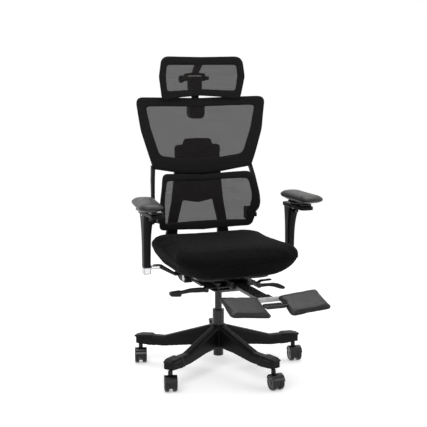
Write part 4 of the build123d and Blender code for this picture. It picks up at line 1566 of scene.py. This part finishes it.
@dataclass
class Mechanism:
    """Tilt mechanism with its levers, the seat pan and the footrest's guides.

    Attributes:
        fine: voxel of the levers.
        middling: voxel of the guides.
        coarse: voxel of the housing and the pan.
    """

    fine: float = 0.0012
    middling: float = 0.0016
    coarse: float = 0.0022

    def build(self) -> None:
        """Round the levers, the housing, the pan and the guides."""
        for lever in ("height_lever", "tilt_lever", "slide_lever"):
            Moulding(lever, voxel=self.fine, rounds=3).made()
        Moulding("mechanism_housing", voxel=self.coarse, finish=HOUSING_PAINT).made()
        Moulding("seat_pan", voxel=self.coarse).made()
        Moulding("footrest_guides", voxel=self.middling).made()


@dataclass
class StarBase:
    """Five-legged base with a cover on each leg's end.

    Attributes:
        legs: how many legs it has.
        cover_top: radius where a cover starts, at the leg's top edge.
        cover_bottom: the same at its bottom edge.
        top: height of the leg's top edge there.
        bottom: height of its bottom edge.
        proud: how far a cover stands proud of its leg.
        voxel: size of a cover's remesh.
    """

    legs: int = 5
    cover_top: float = 0.283
    cover_bottom: float = 0.262
    top: float = 0.116
    bottom: float = 0.077
    proud: float = 0.0011
    voxel: float = 0.0019

    def build(self) -> None:
        """Build the base and its covers."""
        Moulding("star_base", voxel=0.0024).made()
        for k in range(self.legs):
            self.cover_leg(k)

    def cover_leg(self, k: int) -> None:
        """Cover one leg's end, cut off at a slant.

        Args:
            k: the leg, from 0 at +X.
        """
        turn = math.tau * k / self.legs
        out = Vector((math.cos(turn), math.sin(turn), 0))
        up = Vector((0, 0, 1))
        shape = merged_copy("star_base")
        slant = out * (self.top - self.bottom) - up * (self.cover_top - self.cover_bottom)
        bmesh.ops.bisect_plane(
            shape,
            geom=[*shape.verts, *shape.edges, *shape.faces],
            plane_co=out * self.cover_top + up * self.top,
            plane_no=slant.normalized(),
            clear_inner=True,
        )
        bmesh.ops.holes_fill(shape, edges=[edge for edge in shape.edges if edge.is_boundary])
        cover = add_piece(f"leg_cover_{k + 1}", outward(shape), "base", "base_plastic")
        remesh(cover, self.voxel)
        for vert in cover.data.vertices:
            vert.co += vert.normal * self.proud
        smooth(cover, 1)


@dataclass
class Castor:
    """One twin-wheel castor.

    Attributes:
        number: which leg it stands under, from 1.
        radius: the wheels' radius.
        inner: how far a wheel's inner face lies from the web's middle.
        outer: the same for its outer face.
    """

    number: int
    radius: float = 0.030
    inner: float = 0.006
    outer: float = 0.0245

    def build(self) -> None:
        """Build the body and both wheels."""
        Moulding(f"castor_{self.number}_body", voxel=0.0013, rounds=1).made()
        for hand, side in reversed(HANDS.items()):
            joint = JOINTS[f"castor_{self.number}_{hand}_roll"]
            place = facing(joint["pos_m"], Vector(joint["axis"]) * side)
            wheel = spun(self.wheel_profile(), 72, place)
            node = f"castor_{self.number}_wheel_{hand}"
            add_piece(
                f"{node}_turned", wheel, NODE_BODY[node], NODE_SLOT[node], None, [node], Shading.CREASED
            )

    def wheel_profile(self) -> list[tuple[float, float]]:
        """Half section of a wheel: hub, crowned tread with a groove, rim and dished face.

        Returns:
            The points' radii and heights, from the inner face to the outer one.
        """
        full, near, far = self.radius, self.inner, self.outer
        return [
            (0.0, near),
            (full - 0.005, near),
            (full - 0.002, near + 0.0006),
            (full - 0.0006, near + 0.0022),
            (full, near + 0.0050),
            (full, near + 0.0078),
            (full - 0.0009, near + 0.0083),
            (full - 0.0009, near + 0.0091),
            (full, near + 0.0096),
            (full - 0.0001, near + 0.0125),
            (full - 0.0011, far - 0.0034),
            (full - 0.0029, far - 0.0014),
            (full - 0.0052, far - 0.0003),
            (full - 0.0068, far),
            (full - 0.0080, far - 0.0006),
            (full - 0.0090, far - 0.0022),
            (full - 0.0104, far - 0.0026),
            (0.0112, far - 0.0019),
            (0.0096, far - 0.0017),
            (0.0086, far - 0.0004),
            (0.0070, far),
            (0.0, far),
        ]


# ------------------------------------------------------------------ studio
@dataclass
class Studio:
    """Pale floor, soft lamps and the camera at the photograph's viewpoint.

    Attributes:
        distance: from the chair's middle to the camera, along the floor.
        height: the camera's height.
        azimuth: degrees that it stands away from the chair's front; its right is negative.
        yaw: degrees that it looks past the chair's middle.
        pitch: degrees that it looks up; down is negative.
        focal_pixels: its focal length.
        picture_pixels: the picture's width.
        floor_reach: half the floor's width.
        lit_radius: how far the lamps light the floor fully.
        dark_radius: where they no longer reach.
        ambient: the surround's strength as a light.
    """

    distance: float = 3.83
    height: float = 1.22
    azimuth: float = -21.0
    yaw: float = 0.29
    pitch: float = -8.8
    focal_pixels: float = 985.0
    picture_pixels: float = 427.0
    floor_reach: float = 60.0
    lit_radius: float = 1.2
    dark_radius: float = 7.0
    ambient: float = 0.45

    def build(self) -> None:
        """Build the whole studio."""
        self.set_camera()
        self.lay_floor()
        self.light()
        bpy.context.scene.view_settings.view_transform = "Standard"

    def set_camera(self) -> None:
        """Stand the camera where the photographer's was."""
        data = bpy.data.cameras.new("camera")
        data.sensor_width = 36.0
        data.lens = self.focal_pixels / self.picture_pixels * data.sensor_width
        camera = stand("camera", data)
        turn = math.radians(self.azimuth)
        camera.location = (self.distance * math.sin(turn), -self.distance * math.cos(turn), self.height)
        camera.rotation_euler = (math.radians(90 + self.pitch), 0, math.radians(self.azimuth + self.yaw))
        bpy.context.scene.camera = camera

    def pale(self, name: str, shade: float, near: float, far: float) -> Material:
        """Pale matt material that the camera sees lit up to white.

        Args:
            name: the material's name.
            shade: its own grey.
            near: strength added under the lamps for the camera, metal and glass alone.
            far: the same where the lamps don't reach.

        Returns:
            The material.
        """
        bench = Bench(name)
        bench.set(Roughness=0.9, Specular_IOR_Level=0.0)
        bench.base.default_value = (shade, shade, shade, 1)
        away = bench.node("ShaderNodeVectorMath", operation="LENGTH")
        bench.link(bench.place, away.inputs[0])
        glow = bench.ranged(away.outputs["Value"], self.lit_radius, self.dark_radius, near, far, "SMOOTHSTEP")
        bench.shader.inputs["Emission Color"].default_value = (1, 1, 1, 1)
        bench.link(bench.sum("MULTIPLY", glow, bench.seen()), bench.shader.inputs["Emission Strength"])
        return bench.material

    def lay_floor(self) -> None:
        """Lay a wide pale floor."""
        shape = bmesh.new()
        bmesh.ops.create_grid(shape, x_segments=8, y_segments=8, size=self.floor_reach)
        mesh = as_mesh("floor", shape)
        mesh.materials.append(self.pale("pale_floor", 0.8, 0.42, 0.66))
        stand("floor", mesh)

    def light(self) -> None:
        """Hang three soft lamps and a white surround."""
        self.lamp("key", (-1.9, -2.3, 2.9), (0, 0, 0.6), 2.2, 75.0)
        self.lamp("fill", (2.6, -1.9, 1.9), (0, 0, 0.5), 2.4, 34.0)
        self.lamp("top", (0.3, 0.9, 3.2), (0, 0, 0.6), 2.2, 46.0)
        world = bpy.data.worlds.new("surround")
        world.use_nodes = True
        nodes = Nodes(world.node_tree)
        surround = nodes.tree.nodes["Background"]
        surround.inputs["Color"].default_value = (1, 1, 1, 1)
        nodes.link(nodes.ranged(nodes.seen(), 0.0, 1.0, self.ambient, 1.0), surround.inputs["Strength"])
        bpy.context.scene.world = world

    @staticmethod
    def lamp(
        name: str, spot: Sequence[float], target: Sequence[float], size: float, power: float
    ) -> None:
        """Hang one square soft lamp.

        Args:
            name: the lamp's name.
            spot: where it hangs.
            target: what it faces.
            size: its side.
            power: its watts.
        """
        data = bpy.data.lights.new(name, "AREA")
        data.size = size
        data.energy = power
        lamp = stand(name, data)
        lamp.location = spot
        aim = Vector(target) - Vector(spot)
        lamp.rotation_euler = aim.to_track_quat("-Z", "Y").to_euler()


def dress_nodes() -> None:
    """Give every carried-over node the finish of its slot."""
    for name, node in frame["nodes"].items():
        node.data.materials.clear()
        node.data.materials.append(FINISH_OF_SLOT[NODE_SLOT[name]].made())
    log.info("dressed %d nodes", len(NODE_SLOT))


def main() -> None:
    """Build everything in order."""
    logging.basicConfig(level=logging.INFO, format="%(name)s: %(message)s")
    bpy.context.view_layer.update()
    Studio().build()
    dress_nodes()
    Seat().build()
    Back().build()
    Headrest().build()
    for hand in HANDS:
        Armrest(hand).build()
    Footrest().build()
    Mechanism().build()
    StarBase().build()
    for number in range(1, 6):
        Castor(number).build()


if __name__ == "__main__":
    main()
